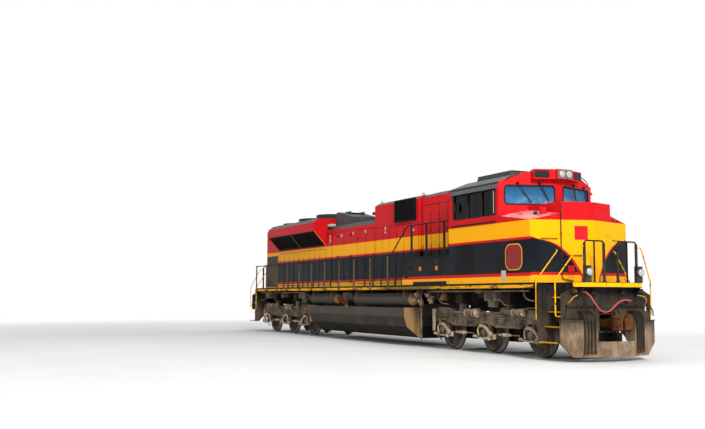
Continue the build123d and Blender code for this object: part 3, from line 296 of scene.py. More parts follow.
# Brush-painted black steel under oil and road dust. The deck's treadplate is 30 mm wide in truth and drawn 45 mm
# wide to show, and the yellow stripes along the sills and end platforms are chipped back to dirty steel.
def underframePaint():
    r, d = paint("underframeGrimyBlack"), deckStripes
    along = r.add("Math", r.x, operation="ABSOLUTE")
    colour = r.coats("#141210", (r.patches(0.35, 0.70, 385, 6.0), "#2B2621"))
    colour = grime(r, colour, "#6A5A4A", 0.2, 1.75, 0.55, 0.12)
    sill = r.times(r.above(r.across, d["sillY"]), r.between(r.z, *d["sillZ"]), r.below(along, d["sillEnd"]))
    ends = r.times(r.above(along, d["endX"]), r.between(r.z, *d["endZ"]), r.below(r.across, d["endY"]),
                   r.facing(2, 0.6, 0.5))
    # a brown band over the sill stripe from x 1.2 to 5.8, behind the cab
    sillBrownBand = r.times(r.add("MapRange", r.x, 1.2, 2.2), r.add("MapRange", r.x, 5.8, 4.8), 0.8)
    worn = r.either(r.patches(0.50, 0.62, 200, 7.0, 0.7, squeeze=(0.5, 1, 2.2)), sillBrownBand)
    colour = r.coats(colour, (sill, r.coats("#F0A80C", (worn, "#4A3A2A"))),
                     (ends, r.coats("#F4AE10", (r.patches(0.6, 0.72, 167, 7.0), "#6A4A22"))))
    deck = r.times(r.facing(2, 0.9, 0.95), r.above(r.z, 1.80))
    tread = r.times(deck, r.add("TexVoronoi", r.place, Scale=1000 / 45.45))
    height = r.add("Math", r.cloud(25, 5.0), tread, operation="ADD")
    return r.finish(colour, r.rough(167, 4.0, 0.55, 0.85), height)


# Black brush paint on sheet steel, brown with dust and specks of rust low down
def pilotPaint():
    r = paint("pilotPaintBlackDusty")
    colour = r.coats("#16171A", (r.patches(0.38, 0.68, 455, 7.0), "#332C25"))
    colour = grime(r, colour, "#7A6753", 0.4, 1.7, 0.62, 0.18)
    rust = r.patches(0.60, 0.70, 125, 7.0, 0.7)
    return r.finish(r.coats(colour, (r.times(rust, 0.6), "#6E4424")),
                    r.add("MapRange", rust, 0.0, 1.0, 0.55, 0.80), r.cloud(28.6, 6.0))


# Yellow brush paint on steel tube, chipped in spots 60 mm wide; the loops on the platform's edge are black
def endRailPaint():
    r = paint("handrailYellowWorn")
    colour = r.coats("#F3AC0B", (r.patches(0.52, 0.60, 62.5, 6.0, 0.7, squeeze=(1, 1, 0.6)), "#5E4A30"))
    loops = r.times(r.above(r.add("Math", r.x, operation="ABSOLUTE"), 10.70), r.below(r.across, 0.8225))
    black = r.coats("#121315", (r.patches(0.5, 0.7, 111, 5.0), "#3B332B"))
    return r.finish(r.coats(colour, (loops, black)), 0.55, r.cloud(16.7, 4.0))


# Bare brown-grey steel stanchions, with black paint left on the top rail and near the cab
def walkwayRailPaint():
    r = paint("walkwayRailBrownBlack")
    brown = r.coats("#4A3F36", (r.patches(0.40, 0.65, 111, 6.0), "#6B5A4A"))
    black = r.coats("#131517", (r.patches(0.50, 0.75, 143, 6.0), "#3A3129"))
    rail = r.either(r.above(r.z, 2.775), r.above(r.x, 2.60))
    return r.finish(r.coats(brown, (rail, black)), 0.6, r.cloud(20, 5.0))


# Welded steel tank in dusty dark grey, lighter over its top facet and upward faces as painted light and nearly black
# under its lower one as painted shade, with dry tan mud thrown over the faces that lead; the mud is kept off their
# inner part,
# |y| under 0.86, which stays dark as painted shade
def tankPaint():
    r = paint("tankDustyGrey")
    colour = r.coats("#2A2724", (r.patches(0.35, 0.70, 625, 7.0), "#3B3632"))
    colour = grime(r, colour, "#6E5F4E", 0.1, 1.5, 0.42, 0.15)
    # the mud leaves the end plates' inner part, |y| under 0.86, dark as painted shade
    mud = r.times(r.facing(0, 0.25, 0.75), r.patches(0.10, 0.45, 833, 5.0), r.add("MapRange", r.across, 0.86, 0.98),
                  r.below(r.z, 1.60, 0.04))
    tan = r.coats("#A5825A", (r.cloud(111, 5.0), "#8E6D48"))
    # painted light: lighter above z 0.90 and on upward faces; painted shade: nearly black below z 0.60
    colour = r.coats(colour, (r.times(r.above(r.z, 0.90, 0.02), 0.55), "#5A5249"),
                     (r.times(r.below(r.z, 0.60, 0.02), 0.75), "#151311"), (mud, tan),
                     (r.times(r.facing(2, 0.7, 0.9), 0.6), "#8A8378"))
    return r.finish(colour, 0.68, r.cloud(33.3, 6.0), 0.0015)


# Sand-cast steel, brown-grey, with dust on every ledge and wet oily patches 700 mm wide
def bogieCast():
    r = paint("bogieCastSteelDusty")
    oil = r.patches(0.58, 0.68, 667, 4.0)
    colour = r.coats("#4A4138", (r.patches(0.38, 0.62, 312.5, 8.0, 0.65), "#857461"),
                     (r.times(r.facing(2, 0.3, 0.8), 0.75), "#B3A089"), (r.times(oil, 0.75), "#15171A"))
    return r.finish(colour, r.add("MapRange", oil, 0.0, 1.0, 0.85, 0.55), r.cloud(14.3, 6.0), 0.003)


# Rolled and turned wheel steel: dusty brown web, bright worn tread and flange
def wheelSteel():
    r = paint("wheelSteelRolled")
    sideways = r.either(r.facing(1, 0.2, 0.5), r.facing(1, -0.2, -0.5))
    tread = r.times(r.add("Math", 1.0, sideways, operation="SUBTRACT"), r.between(r.across, 0.70, 0.82))
    colour = r.coats("#2E2823", (r.patches(0.38, 0.66, 250, 7.0), "#6A5D4F"), (tread, "#A8A096"))
    return r.finish(colour, r.add("MapRange", tread, 0.0, 1.0, 0.75, 0.30), r.cloud(20, 5.0), Metallic=0.3)


# Rolled plate scoured by ballast: grey-brown steel with rust, darker towards its top edge
def plowSteel():
    r = paint("ploughScouredSteel")
    colour = r.coats("#6B5743", (r.patches(0.40, 0.62, 417, 8.0, 0.7, squeeze=(1, 1, 0.5)), "#A28C72"),
                     (r.times(r.patches(0.56, 0.68, 167, 8.0, 0.75), 0.7), "#6B4628"),
                     (r.times(r.add("MapRange", r.z, 0.62, 0.92), 0.8), "#2E2925"))
    return r.finish(colour, 0.62, r.cloud(41.7, 7.0), 0.003, Metallic=0.25)


# Painted or bare sheet: one tone with dust that settles between the heights low and high
def plainPaint(name, code, dust="#7B6A56", low=1.0, high=2.8, strength=0.5, roughness=0.5, grain=25, metallic=0.0,
               streaks=0.2):
    r = paint(name)
    colour = r.coats(code, (r.times(r.patches(0.35, 0.70, 385, 6.0), 0.25), dust))
    colour = grime(r, colour, dust, low, high, strength, streaks)
    return r.finish(colour, r.rough(167, 4.0, roughness - 0.15, roughness + 0.15), r.cloud(grain, 5.0),
                    Metallic=metallic)


# Cast or rusted iron: two tones in blotches of a width, broken by a grain a fourteenth as wide
def castIron(name, code, dark, wide=143, roughness=0.85):
    r = paint(name)
    grain = r.cloud(wide / 14, 3.0)
    colour = r.coats(dark, (r.patches(0.35, 0.65, wide, 8.0, 0.7), code), (r.times(grain, 0.35), dark))
    return r.finish(colour, roughness, grain, 0.003)


# Laminated glass: the windscreens carry a painted reflection of the sky, the side windows are dark and part
# transparent
def glassPane():
    r = paint("cabGlassPaintedSky")
    front = r.above(r.x, 8.34, 0.02)
    # the windscreens' blue, darker upwards with pale and dark patches, is a painted reflection of the sky
    sky = r.coats("#3F7CA6", (r.add("MapRange", r.z, 3.92, 4.35), "#215478"),
                  (r.times(r.patches(0.50, 0.72, 385, 6.0), r.add("MapRange", r.z, 4.12, 3.93)), "#9DB9C6"),
                  (r.times(r.patches(0.52, 0.70, 625, 5.0), 0.5), "#16334A"))
    side = r.coats("#050708", (r.patches(0.42, 0.66, 1111, 3.0, squeeze=(2.5, 1, 0.6)), "#1D2830"))
    alpha = r.add("MapRange", front, 0.0, 1.0, 0.74, 0.88)
    return r.finish(r.coats(side, (front, sky)), r.rough(200, 4.0, 0.03, 0.09), Alpha=alpha, IOR=1.5,
                    **{"Specular IOR Level": 0.12})


# Pressed lens with flutes 12.1 mm apart and cross rows 34.9 mm apart, over a silvered reflector, faintly lit.
# A wave's period is 100 pi mm over its scale.
def lensGlass():
    r = paint("lampLensGlass")
    ribs, rows = [r.add("TexWave", r.place, Scale=100 * math.pi / apart, bands_direction=way).node.outputs[1]
                  for apart, way in ((12.1, "Y"), (34.9, "Z"))]
    pattern = r.times(ribs, r.add("MapRange", rows, 0.0, 1.0, 0.4, 1.0))
    glow = {"Emission Color": "#FFF8E6", "Emission Strength": 0.05, "Specular IOR Level": 0.6, "Coat Weight": 0.5}
    return r.finish(r.coats("#747B80", (pattern, "#D6D8D4")), r.add("MapRange", ribs, 0.0, 1.0, 0.06, 0.14), ribs,
                    0.001, **glow)


# Plain finishes: name, colour, dust, heights of full and of no dust, its strength, roughness, and where they differ
# from sheet paint the grain in mm, the metal and the streaks
plainPaints = dict(
    # matt anti-slip paint, black body paint half dulled, and painted sunshades
    roofGrey=("roofPaintGrey", "#3E4245", "#6B655C", 3.8, 5.2, 0.3, 0.55),
    black=("bodyPaintBlack", "#17191C", "#6B5D4E", 0.6, 2.6, 0.55, 0.5),
    shadeGrey=("sunshadeGrey", "#4A4E52", "#6B655C", 3.8, 5.2, 0.2, 0.6),
    # fresh gloss red, and duller dark red and yellow enamel on small panels
    redPlain=("plainRedPaint", "#D8161E", "#A8303A", 0, 1, 0.05, 0.38, 38.5, 0.0, 0.05),
    darkRed=("plainDarkRedPaint", "#8E1F24", "#6B5D4E", 1.8, 3.0, 0.2, 0.45, 38.5, 0.0, 0.05),
    yellowPlain=("plainYellowPaint", "#F2B20C", "#7B6A56", 1.8, 3.0, 0.2, 0.45, 38.5, 0.0, 0.05),
    # brush paint on latches and step edges, dulled by hands and boots
    orange=("latchPlateOrange", "#E8891A", "#7B5A2E", 1.8, 3.0, 0.2, 0.5),
    stepYellow=("stepEdgeYellow", "#E09A10", "#5B452C", 0.3, 2.6, 0.5, 0.6),
    # dusty steel bar, pressed louvres under dust, black punched sheet darkened further to read as holes, which is
    # painted shade, and the dark of a joint
    postBrown=("stanchionBrownGrey", "#5A4C42", "#7B6A56", 1.5, 3.0, 0.4, 0.6),
    louvre=("louvreDustyGrey", "#4F4A43", "#7A6B58", 1.8, 3.4, 0.5, 0.7),
    grille=("grilleBlackShade", "#0D0E0F", "#2A2622", 1.0, 2.0, 0.1, 0.7),
    seam=("panelSeamShadow", "#08090A", "#1A1714", 1.0, 3.0, 0.2, 0.8),
    # etched sheet without gloss, smoked glass, and spun aluminium with soft highlights
    platePale=("paleBlankPlate", "#B9B4AA", "#8A7E6C", 1.8, 3.0, 0.3, 0.6),
    boardDark=("numberBoardDarkGlass", "#1A1D1C", "#3C4038", 4.0, 5.2, 0.15, 0.25, 83.3),
    lampMetal=("lampBezelGrey", "#8A8A84", "#4F4A42", 1.6, 2.6, 0.3, 0.35, 33.3, 0.7),
    # embossed vinyl, extruded seals, the cable's sun-bleached jacket, and wrapped hose rubber
    seat=("seatVinylBlack", "#2B2C2E", "#3A3A3A", 0, 1, 0.0, 0.55, 3.3),
    rubberBlack=("rubberBlack", "#131415", "#4A4540", 1.0, 4.0, 0.2, 0.65, 11.1),
    cableRed=("jumperCableRed", "#B95054", "#8A4A44", 1.0, 1.8, 0.2, 0.6, 5.0),
    hoseBlack=("airHoseRubber", "#1B1918", "#5A4E42", 0.2, 1.3, 0.5, 0.7, 8.3))
paints = {key: plainPaint(*row) for key, row in plainPaints.items()}
paints.update(
    livery=bodyPaint(), underframe=underframePaint(), pilot=pilotPaint(), tank=tankPaint(), bogie=bogieCast(),
    wheel=wheelSteel(), railYellow=endRailPaint(), walkwayRail=walkwayRailPaint(), plow=plowSteel(),
    glass=glassPane(), lens=lensGlass(),
    motor=castIron("motorCasingGreasy", "#2C2722", "#15120F", 166.7, 0.7),    # cast casing, slick with grease
    rust=castIron("couplerRustBrown", "#7A4A26", "#3F2A1C", 90.9),    # bare cast steel, dry red-brown rust
    brass=castIron("bellDustyBronze", "#A8815C", "#5B4029", 111.1, 0.5),    # cast bronze, brown and half dull
    paleDust=castIron("armCastingPaleDust", "#D2BA98", "#7F6C55", 166.7))    # castings under pale brake dust
nodePaints = dict(    # each paint's nodes, by how their names start
    livery=("cab_shell", "cab_door", "nose", "headlight_housing", "walkway_cabinets", "equipment_hood",
            "engine_hood", "engine_door", "radiator_hood"),
    roofGrey=("air_conditioner", "exhaust_silencer", "horn"), shadeGrey=("cab_sunshades",), glass=("cab_glass",),
    seat=("cab_seats",), black=("control_desk", "ditch_lights"), motor=("engine_block", "traction_motors"),
    grille=("intake_screens", "radiator_screens", "radiator_fan"), underframe=("underframe",), pilot=("pilot",),
    tank=("fuel_tank", "air_reservoirs"), plow=("snow_plow",), cableRed=("jumper_cable",), hoseBlack=("air_hoses",),
    walkwayRail=("walkway_handrails",), railYellow=("end_handrails",), brass=("bell",), rust=("coupler", "knuckle"),
    bogie=("bogie_frame", "journal_boxes"), wheel=("wheelset",))
starts = {start: key for key, group in nodePaints.items() for start in group}
for name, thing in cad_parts.items():
    start = max((start for start in starts if name.startswith(start)), key=len)
    thing.data.materials.clear()
    thing.data.materials.append(paints[starts[start]])
for name, (thing, _) in cords.items():
    thing.data.materials.append(paints["cableRed" if name == "jumperCable" else "hoseBlack"])
print("stage: materials")


# A rounded rectangle w by h, anticlockwise: each corner's centre, plus the radius less an inset times (cos, sin)
def roundedRing(w, h, r, steps=4, inset=0):
    corners = np.repeat(((1, 1), (-1, 1), (-1, -1), (1, -1)), steps + 1, axis=0)
    angles = np.radians(np.add.outer((0, 90, 180, 270), np.linspace(0, 90, steps + 1))).ravel()
    return corners * (w / 2 - r, h / 2 - r) + (r - inset) * np.stack((np.cos(angles), np.sin(angles)), axis=1)


# Rings of (u, v) points on a plane: origin + p u + q v, each ring at its depth along u cross v
def onPlane(rings, origin, u, v, depths):
    out = np.multiply.outer(depths, np.cross(u, v))
    return np.array(origin) + np.stack(rings) @ np.array((u, v)) + out[:, None]


class Shape:    # the surfaces of one piece, each a grid of points
    def __init__(self):
        self.points, self.faces, self.count = [], [], 0

    # Quads between neighbouring rings, each ring closed on itself, and a cap on the first and the last
    def grid(self, rings, caps=True):
        n, m = rings.shape[:2]
        index = self.count + np.arange(n * m).reshape(n, m)
        after = np.roll(index, -1, axis=1)
        self.faces += np.stack((index[:-1], after[:-1], after[1:], index[1:]), axis=2).reshape(-1, 4).tolist()
        if caps:
            self.faces += [index[0, ::-1].tolist(), index[-1].tolist()]
        self.points.append(rings.reshape(-1, 3))
        self.count += n * m

    # Box between two opposite corners: a rounded rectangle carried up z, whose inset falls from r to 0 over the
    # first r of its height and grows back over the last
    def block(self, a, b, r=0.006):
        low, high = np.minimum(a, b), np.maximum(a, b)
        w, h, deep = high - low
        r = min(r, 0.225 * min(w, h, deep))
        inset = r * np.array((1, 0.29, 0, 0, 0.29, 1))[:, None, None]
        rise = deep / 2 - r * np.array((0, 0.71, 1))
        ring = roundedRing(w, h, 1.5 * r, 2, inset)
        z = np.broadcast_to(np.concatenate((-rise, rise[::-1]))[:, None, None], ring.shape[:2] + (1,))
        self.grid(np.concatenate((ring, z), axis=2) + (low + high) / 2)

    # Blocks as rows of x, y and z from and to, mirrored to side s and end e, with x counted from a place
    def blocks(self, s, r, *rows, e=1, x=0):
        for x0, x1, y0, y1, z0, z1 in rows:
            self.block((e * (x + x0), s * y0, z0), (e * (x + x1), s * y1, z1), r)

    # Surface of revolution: (distance along the axis, radius) pairs as (d, r cos t, r sin t) from the origin
    def lathe(self, profile, origin, axis="X", segments=24, sign=1):
        turn = np.linspace(0, 2 * math.pi, segments, endpoint=False)
        along, radius = np.array(profile, float).T[:, :, None]
        rings = np.broadcast_arrays(sign * along, radius * np.cos(turn), sign * radius * np.sin(turn))
        self.grid(np.roll(np.stack(rings, axis=2), "XYZ".index(axis), axis=2) + origin)

    # Tube along a path whose corners are cut at a quarter and three quarters of each run, bend times over:
    # path + r cos t side + r sin t (along x side), with one side direction carried along square to the path
    def pipe(self, path, r, segments=10, bend=2):
        path = np.array(path, float)
        for _ in range(bend if len(path) > 2 else 0):
            cuts = [path[:-1] * near + path[1:] * (1 - near) for near in (0.75, 0.25)]
            path = np.concatenate((path[:1], np.stack(cuts, axis=1).reshape(-1, 3), path[-1:]))
        along = np.gradient(path, axis=0)
        along /= np.linalg.norm(along, axis=1)[:, None]
        side = np.cross(along[0], (0, 0, 1) if abs(along[0][2]) < 0.9 else (1, 0, 0))
        carried = []
        for t in along:
            side = side - t * side.dot(t)
            side /= np.linalg.norm(side)
            carried.append(side)
        turn = np.linspace(0, 2 * math.pi, segments, endpoint=False)[:, None]
        carried = np.array(carried)[:, None]
        self.grid(path[:, None] + r * (np.cos(turn) * carried + np.sin(turn) * np.cross(along[:, None], carried)))

    # Flat plate: an outline along u and v, pushed out along u cross v, its front drawn in by the bevel
    def plate(self, outline, origin, u, thickness, bevel=0.002, v=(0, 0, 1)):
        centre = outline.mean(axis=0)
        inner = centre + (outline - centre) * (1 - bevel / np.abs(outline - centre).max())
        self.grid(onPlane((outline, outline, inner), origin, u, v, (0, thickness - bevel, thickness)))

    # Frame round an opening w by h: four rounded rings, from the skin out, across and in through the hole
    def gasket(self, centre, u, w, h, r, width, proud, inward=0.03):
        rings = (roundedRing(w + 2 * width, h + 2 * width, r + width),
                 roundedRing(w + 2 * width - 0.01, h + 2 * width - 0.01, r + width),
                 roundedRing(w, h, r), roundedRing(w - 0.004, h - 0.004, r))
        self.grid(onPlane(rings, centre, u, (0, 0, 1), (-0.002, proud, proud, -inward)), caps=False)

    def domes(self, places, r, axis, sign):    # bolt and rivet heads, six-sided
        for place in places:
            self.lathe(((0, r), (r * 0.5, r * 0.8), (r * 0.7, r * 0.25)), place, axis, 6, sign)

    def make(self, name, paint, body="locomotive", smooth=False, slot=None):
        mesh = bpy.data.meshes.new(name)
        mesh.from_pydata(np.concatenate(self.points).tolist(), [], self.faces)
        mesh.polygons.foreach_set("use_smooth", [smooth] * len(mesh.polygons))
        mesh.materials.append(paints[paint])
        mesh.update()
        thing = bpy.data.objects.new(name, mesh)
        scene.collection.objects.link(thing)
        if smooth:
            thing.modifiers.new("creases", "EDGE_SPLIT").split_angle = math.radians(38)
        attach(thing, body)
        return thing


# Hood doors, in metres as all below. A row is x from and to, how many doors, z from and to, and half width.
hood = dict(
    rows=((-8.32, -3.64, 9, 1.97, 3.30, 0.95), (-3.49, -3.06, 1, 1.97, 3.84, 0.95),
          (-0.86, 0.38, 2, 1.97, 3.84, 0.95), (0.50, 3.36, 6, 1.97, 3.80, 0.95),
          (3.50, 5.92, 5, 2.74, 4.30, 0.88)),
    side=0.95, margin=0.016, seam=0.007, latch=0.30, rivet=0.010,    # latch is its distance from a door's ends
    rivetRows=((-3.48, 0.38, 0.08, 3.96), (0.52, 3.40, 0.09, 4.50)),    # x from and to, step, z
    rivetColumns=(0.47, 3.38), rivetZ=(1.95, 4.5, 0.09),
    palePlates=((-3.18, 3.75, 0.05), (-3.18, 3.60, 0.07), (-2.19, 3.73, 0.05), (-1.23, 3.76, 0.05),
                (-0.26, 3.76, 0.05), (1.19, 3.76, 0.05), (1.19, 3.63, 0.03),
                (3.05, 3.59, 0.04)),    # x, z and half height
    leaves=((1, "a", -2.57), (1, "b", -2.462), (2, "a", -1.47), (2, "b", -1.362)), grips=(2.05, 2.95, 3.72))


def makeHoodDoors():
    doors, seams, latches, rivets, pale = (Shape() for _ in range(5))
    for s in sides:
        for x0, x1, many, z0, z1, half in hood["rows"]:
            edges, middle = np.linspace(x0, x1, many + 1), (z0 + z1) / 2
            back, front, under, over = (s * (half + d) for d in (-0.004, 0.004, 0.008, 0.026))
            for x in edges:
                seams.block((x - hood["seam"], back, z0 - 0.02), (x + hood["seam"], front, z1 + 0.02), 0.002)
            for z in (z0 - 0.01, z1 + 0.01):
                seams.block((x0, back, z - 0.006), (x1, front, z + 0.006), 0.002)
            for a, b in zip(edges + hood["margin"], edges[1:] - hood["margin"]):
                doors.block((a, back, z0 + 0.01), (b, s * (half + 0.012), z1 - 0.01), 0.010)
                for z in (z0 + hood["latch"], z1 - hood["latch"]):
                    latches.block((a - 0.010, under, z - 0.045), (a + 0.022, over, z + 0.045))
                proud = 0.012 if s > 0 else 0
                latches.block((b - 0.095, under, z0 - 0.09), (b - 0.015, over + proud, z0 + 0.13), 0.008)
                latches.block((b - 0.060, under, middle - 0.04), (b - 0.030, over, middle + 0.04))
        places = [(x, z) for x0, x1, step, z in hood["rivetRows"] for x in np.arange(x0, x1, step)]
        places += [(x, z) for x in hood["rivetColumns"] for z in np.arange(*hood["rivetZ"])]
        rivets.domes([(x, s * hood["side"], z) for x, z in places], hood["rivet"], "Y", s)
        for x, z, half in hood["palePlates"]:
            place = (x, s * (hood["side"] + 0.005), z)
            pale.plate(roundedRing(0.085, 2 * half, 0.01), place, (-s, 0, 0), 0.014, 0.003)
    for word, s in (("Right", -1), ("Left", 1)):    # latches on the engine doors, which swing with them
        for index, leaf, x in hood["leaves"]:
            grip = Shape()
            for z in hood["grips"]:
                grip.block((x - 0.016, s * 0.954, z - 0.05), (x + 0.016, s * 0.974, z + 0.05))
            grip.make(f"engineDoorLatch{word}{index}{leaf}", "black", f"engine_door_{word.lower()}_{index}{leaf}")
    doors.make("hoodDoors", "livery", slot="body_red")
    seams.make("hoodSeams", "seam")
    latches.make("doorLatches", "black")
    rivets.make("hoodRivets", "redPlain")
    pale.make("paleLatchPlates", "platePale")


# Radiator intakes: strips in the flare's plane, from an x to an x, and up the slope from a distance to a distance
radiator = dict(
    x0=-8.388, x1=-3.604, low=(0.004, 0.072), high=(0.668, 0.733), rims=(0.080, 0.078), divider=(-6.032, -5.958),
    edge=(-3.618, -3.598), bars=0.32,
    rear=(-9.86, -8.56), rearPanels=((-9.82, -9.43), (-9.40, -9.01), (-8.98, -8.60)), pitch=0.065, slat=0.034)


# Rims and divider round the slanting intakes, the yellow edge, and the louvres behind
def makeRadiator():
    d = radiator
    rims, dividers, edge, louvres, mesh = (Shape() for _ in range(5))
    slope = np.array((0.0, flare["out"], flare["up"])) / math.hypot(flare["out"], flare["up"])
    for s in sides:
        u, up = np.array((-s, 0, 0)), slope * (1, s, 1)

        def strip(shape, x0, x1, low, high, thick, back=0.0):
            x0, x1 = (x0, x1) if s < 0 else (-x1, -x0)
            outline = np.array(((x0, low), (x1, low), (x1, high), (x0, high)))
            foot = np.array((0, s * flare["footY"], flare["footZ"])) - np.cross(u, up) * back
            shape.plate(outline, foot, u, thick, 0.002, up)
        strip(rims, d["x0"], d["x1"], *d["low"], 0.004)
        strip(rims, d["x0"], d["x1"], *d["high"], 0.004)
        strip(rims, d["x0"], d["x0"] + d["rims"][0], 0.06, 0.68, 0.005)
        strip(rims, d["x1"] - d["rims"][1], d["x1"], 0.06, 0.68, 0.005)
        strip(dividers, *d["divider"], 0.004, 0.73, 0.012)
        strip(edge, *d["edge"], 0.0, 0.735, 0.008)
        for x in np.arange(-8.2, -3.7, d["bars"]):
            if abs(x + 6.0) > 0.1:
                strip(mesh, x - 0.006, x + 0.006, 0.075, 0.665, 0.010, 0.008)
        louvres.block((d["rear"][0], s * 0.948, 1.92), (d["rear"][1], s * 0.962, 3.24), 0.008)
        for x0, x1 in d["rearPanels"]:
            for z in np.arange(1.98, 3.20, d["pitch"]):
                louvres.block((x0, s * 0.955, z), (x1, s * 0.978, z + d["slat"]), 0.008)
    rims.make("intakeRims", "grille")
    dividers.make("intakeDividers", "postBrown")
    edge.make("flareYellowEdge", "yellowPlain")
    mesh.make("intakeMeshBars", "seam")
    louvres.make("rearLouvres", "louvre")


roof = dict(
    hatches=((0.62, 1.60, 0.62, 4.70), (1.72, 3.28, 0.66, 4.69), (3.60, 4.60, 0.58, 4.70),
             (4.75, 5.75, 0.58, 4.715)), hatchFoot=4.655,    # x from and to, half width and top
    eyes=((0.55, 0.74, 4.665), (3.30, 0.74, 4.665), (5.85, 0.68, 4.665), (-9.6, 0.74, 4.475), (-0.2, 0.72, 4.155)),
    outlet=((-3.28, -2.80, -0.30, -0.26, 4.58, 4.715), (-3.28, -2.80, 0.26, 0.30, 4.58, 4.715),
            (-3.30, -3.26, -0.30, 0.30, 4.58, 4.715)), tie=(-0.02, 0.02, 0.575, 0.76, 4.145, 4.165),
    box=(-3.53, -3.28, 0.66, 0.93, 4.14, 4.24), coolerRail=(6.06, 7.70, 0.50, 0.60, 4.895, 4.913),
    coolerRib=(0, 0.06, -0.50, 0.50, 4.895, 4.911), coolerRibs=(6.10, 6.62, 7.14, 7.62),
    eye=((-0.045, 0), (-0.045, 0.065), (0.045, 0.065), (0.045, 0)))    # x and z of a lifting eye's bar


# Hatches with their ribs, lifting eyes, and the rim of the exhaust outlet
def makeRoof():
    hatches, eyes, pale = (Shape() for _ in range(3))
    for x0, x1, half, top in roof["hatches"]:
        hatches.block((x0, -half, roof["hatchFoot"]), (x1, half, top), 0.012)
        for x in np.arange(x0 + 0.12, x1 - 0.05, 0.25):
            hatches.block((x - 0.012, -half + 0.05, top - 0.002), (x + 0.012, half - 0.05, top + 0.012), 0.004)
    hatches.blocks(1, 0.006, *roof["outlet"])
    for x in roof["coolerRibs"]:
        hatches.blocks(1, 0.006, roof["coolerRib"], x=x)
    for s in sides:
        for x in np.arange(-3.3, 0.3, 0.6):
            hatches.blocks(s, 0.005, roof["tie"], x=x)
        for x, y, z in roof["eyes"]:
            eyes.pipe([(x + dx, s * y, z + dz) for dx, dz in roof["eye"]], 0.012, 8)
        pale.blocks(s, 0.02, roof["box"])
        pale.blocks(s, 0.006, roof["coolerRail"])
    hatches.make("roofHatches", "roofGrey")
    eyes.make("liftingEyes", "roofGrey", smooth=True)
    pale.make("paleRoofBoxes", "platePale")


walkway = dict(    # blocks as x, y and z from and to, those of a stanchion with x from its own middle
    first=2.43, step=1.2, posts=11, tall=(3.83, 4.70, 5.68),    # x of the stanchions
    post=((-0.030, 0.030, 1.5305, 1.5675, 1.735, 2.785), (-0.055, 0.055, 1.531, 1.546, 1.742, 1.90)),
    tallPost=(-0.032, 0.032, 1.455, 1.505, 2.690, 3.63), clampY=1.55, clampZ=2.80,
    clamp=((-0.045, 0.027), (-0.03, 0.031), (0.03, 0.031), (0.045, 0.027)),
    fittings=((3.68, 3.88, 1.498, 1.516, 2.345, 2.415), (3.47, 3.65, 1.498, 1.516, 2.065, 2.135),
              (4.348, 4.372, 1.498, 1.516, 2.25, 2.29), (5.268, 5.292, 1.498, 1.516, 2.26, 2.30)),
    sill=(3.99, 5.80, 1.49, 1.532, 1.862, 1.945), edge=(3.06, 3.27, 1.40, 1.42, 1.87, 2.70),
    latches=(4.36, 5.28), latchZ=2.325, slat=(-0.11, 0.11, 1.497, 1.508), slatZ=2.45, slats=7, pitch=0.028,
    deep=0.014)


# Flat stanchions over the posts, their feet and clamps, and the fittings of the cabinets beside the hood
def makeWalkways():
    d = walkway
    posts, dark, orange, louvres = (Shape() for _ in range(4))
    for s in sides:
        for x in d["first"] - d["step"] * np.arange(d["posts"]):
            posts.blocks(s, 0.006, *d["post"], x=x)
            posts.lathe(d["clamp"], (x, s * d["clampY"], d["clampZ"]), "X", 12)
        for x in d["tall"]:
            posts.blocks(s, 0.008, d["tallPost"], x=x)
        dark.blocks(s, 0.008, *d["fittings"])
        dark.blocks(s, 0.01, d["sill"])
        dark.blocks(s, 0.004, d["edge"])
        for x in d["latches"]:
            orange.plate(roundedRing(0.12, 0.13, 0.015), (x, s * 1.4995, d["latchZ"]), (-s, 0, 0), 0.006)
            for z in d["slatZ"] + d["pitch"] * np.arange(d["slats"]):
                louvres.blocks(s, 0.003, (*d["slat"], z, z + d["deep"]), x=x)
    posts.make("stanchions", "walkwayRail")
    dark.make("cabinetFittings", "underframe")
    orange.make("cabinetLatches", "orange")
    louvres.make("cabinetLouvres", "black")


# The slanting fronts of the cab and nose: x and y where each starts beside the middle, and where it ends
facets = dict(cab=((8.90, 0.10), (8.36, 1.525)), nose=((10.12, 0.10), (9.65, 1.525)))


def along(which, s):    # unit direction along a front on side s, away from the middle
    (x0, y0), (x1, y1) = facets[which]
    run = np.array((x1 - x0, s * (y1 - y0), 0.0))
    return run / np.linalg.norm(run)


# A point on a front: start + along * run + normal * out, at the height z
def onFacet(which, s, run, z, out=0.0):
    x, y = facets[which][0]
    ahead = along(which, s)
    return np.array((x, s * y, z)) + ahead * run + np.cross(ahead, (0, 0, s)) * out


cab = dict(    # blocks as x, y and z from and to, frames round glass as corner radius, width and height
    screen=(0.695, 4.13, 1.30, 0.46), screenFrame=(0.07, 0.030, 0.016),
    windows=((6.30, 6.90), (6.96, 7.56), (7.62, 8.18)), windowZ=3.955, windowTall=0.63, side=1.525,
    windowFrame=(0.03, 0.033, 0.010),
    pillars=[(x0, x1, 1.523, 1.537, 3.62, 4.30)
             for x0, x1 in ((6.22, 6.30), (6.88, 6.98), (7.54, 7.64), (8.18, 8.235))],
    rest=(6.10, 8.22, 1.52, 1.552, 3.425, 3.462), curtain=(7.22, 7.36, 1.40, 1.43, 3.70, 4.24),
    strip=(8.15, 8.175, 1.524, 1.541, 3.66, 4.26), mirror=(6.36, 6.46, 1.58, 1.61, 3.84, 4.06),
    mirrorArm=((6.36, 1.52, 3.80), (6.40, 1.59, 3.80), (6.40, 1.59, 4.10), (6.36, 1.52, 4.10)),
    # wipers by side, as the pivot's run and the blade's run and z, and a grab rail as run, z and distance out
    wipers={-1: ((1.02, 0.72, 4.02), (0.44, 0.24, 4.06)), 1: ((0.53, 0.66, 4.02), (1.08, 1.20, 4.06))},
    rail=((1.32, 4.49, 0.0), (1.30, 4.56, 0.05), (0.98, 4.69, 0.05), (0.96, 4.66, -0.02)))


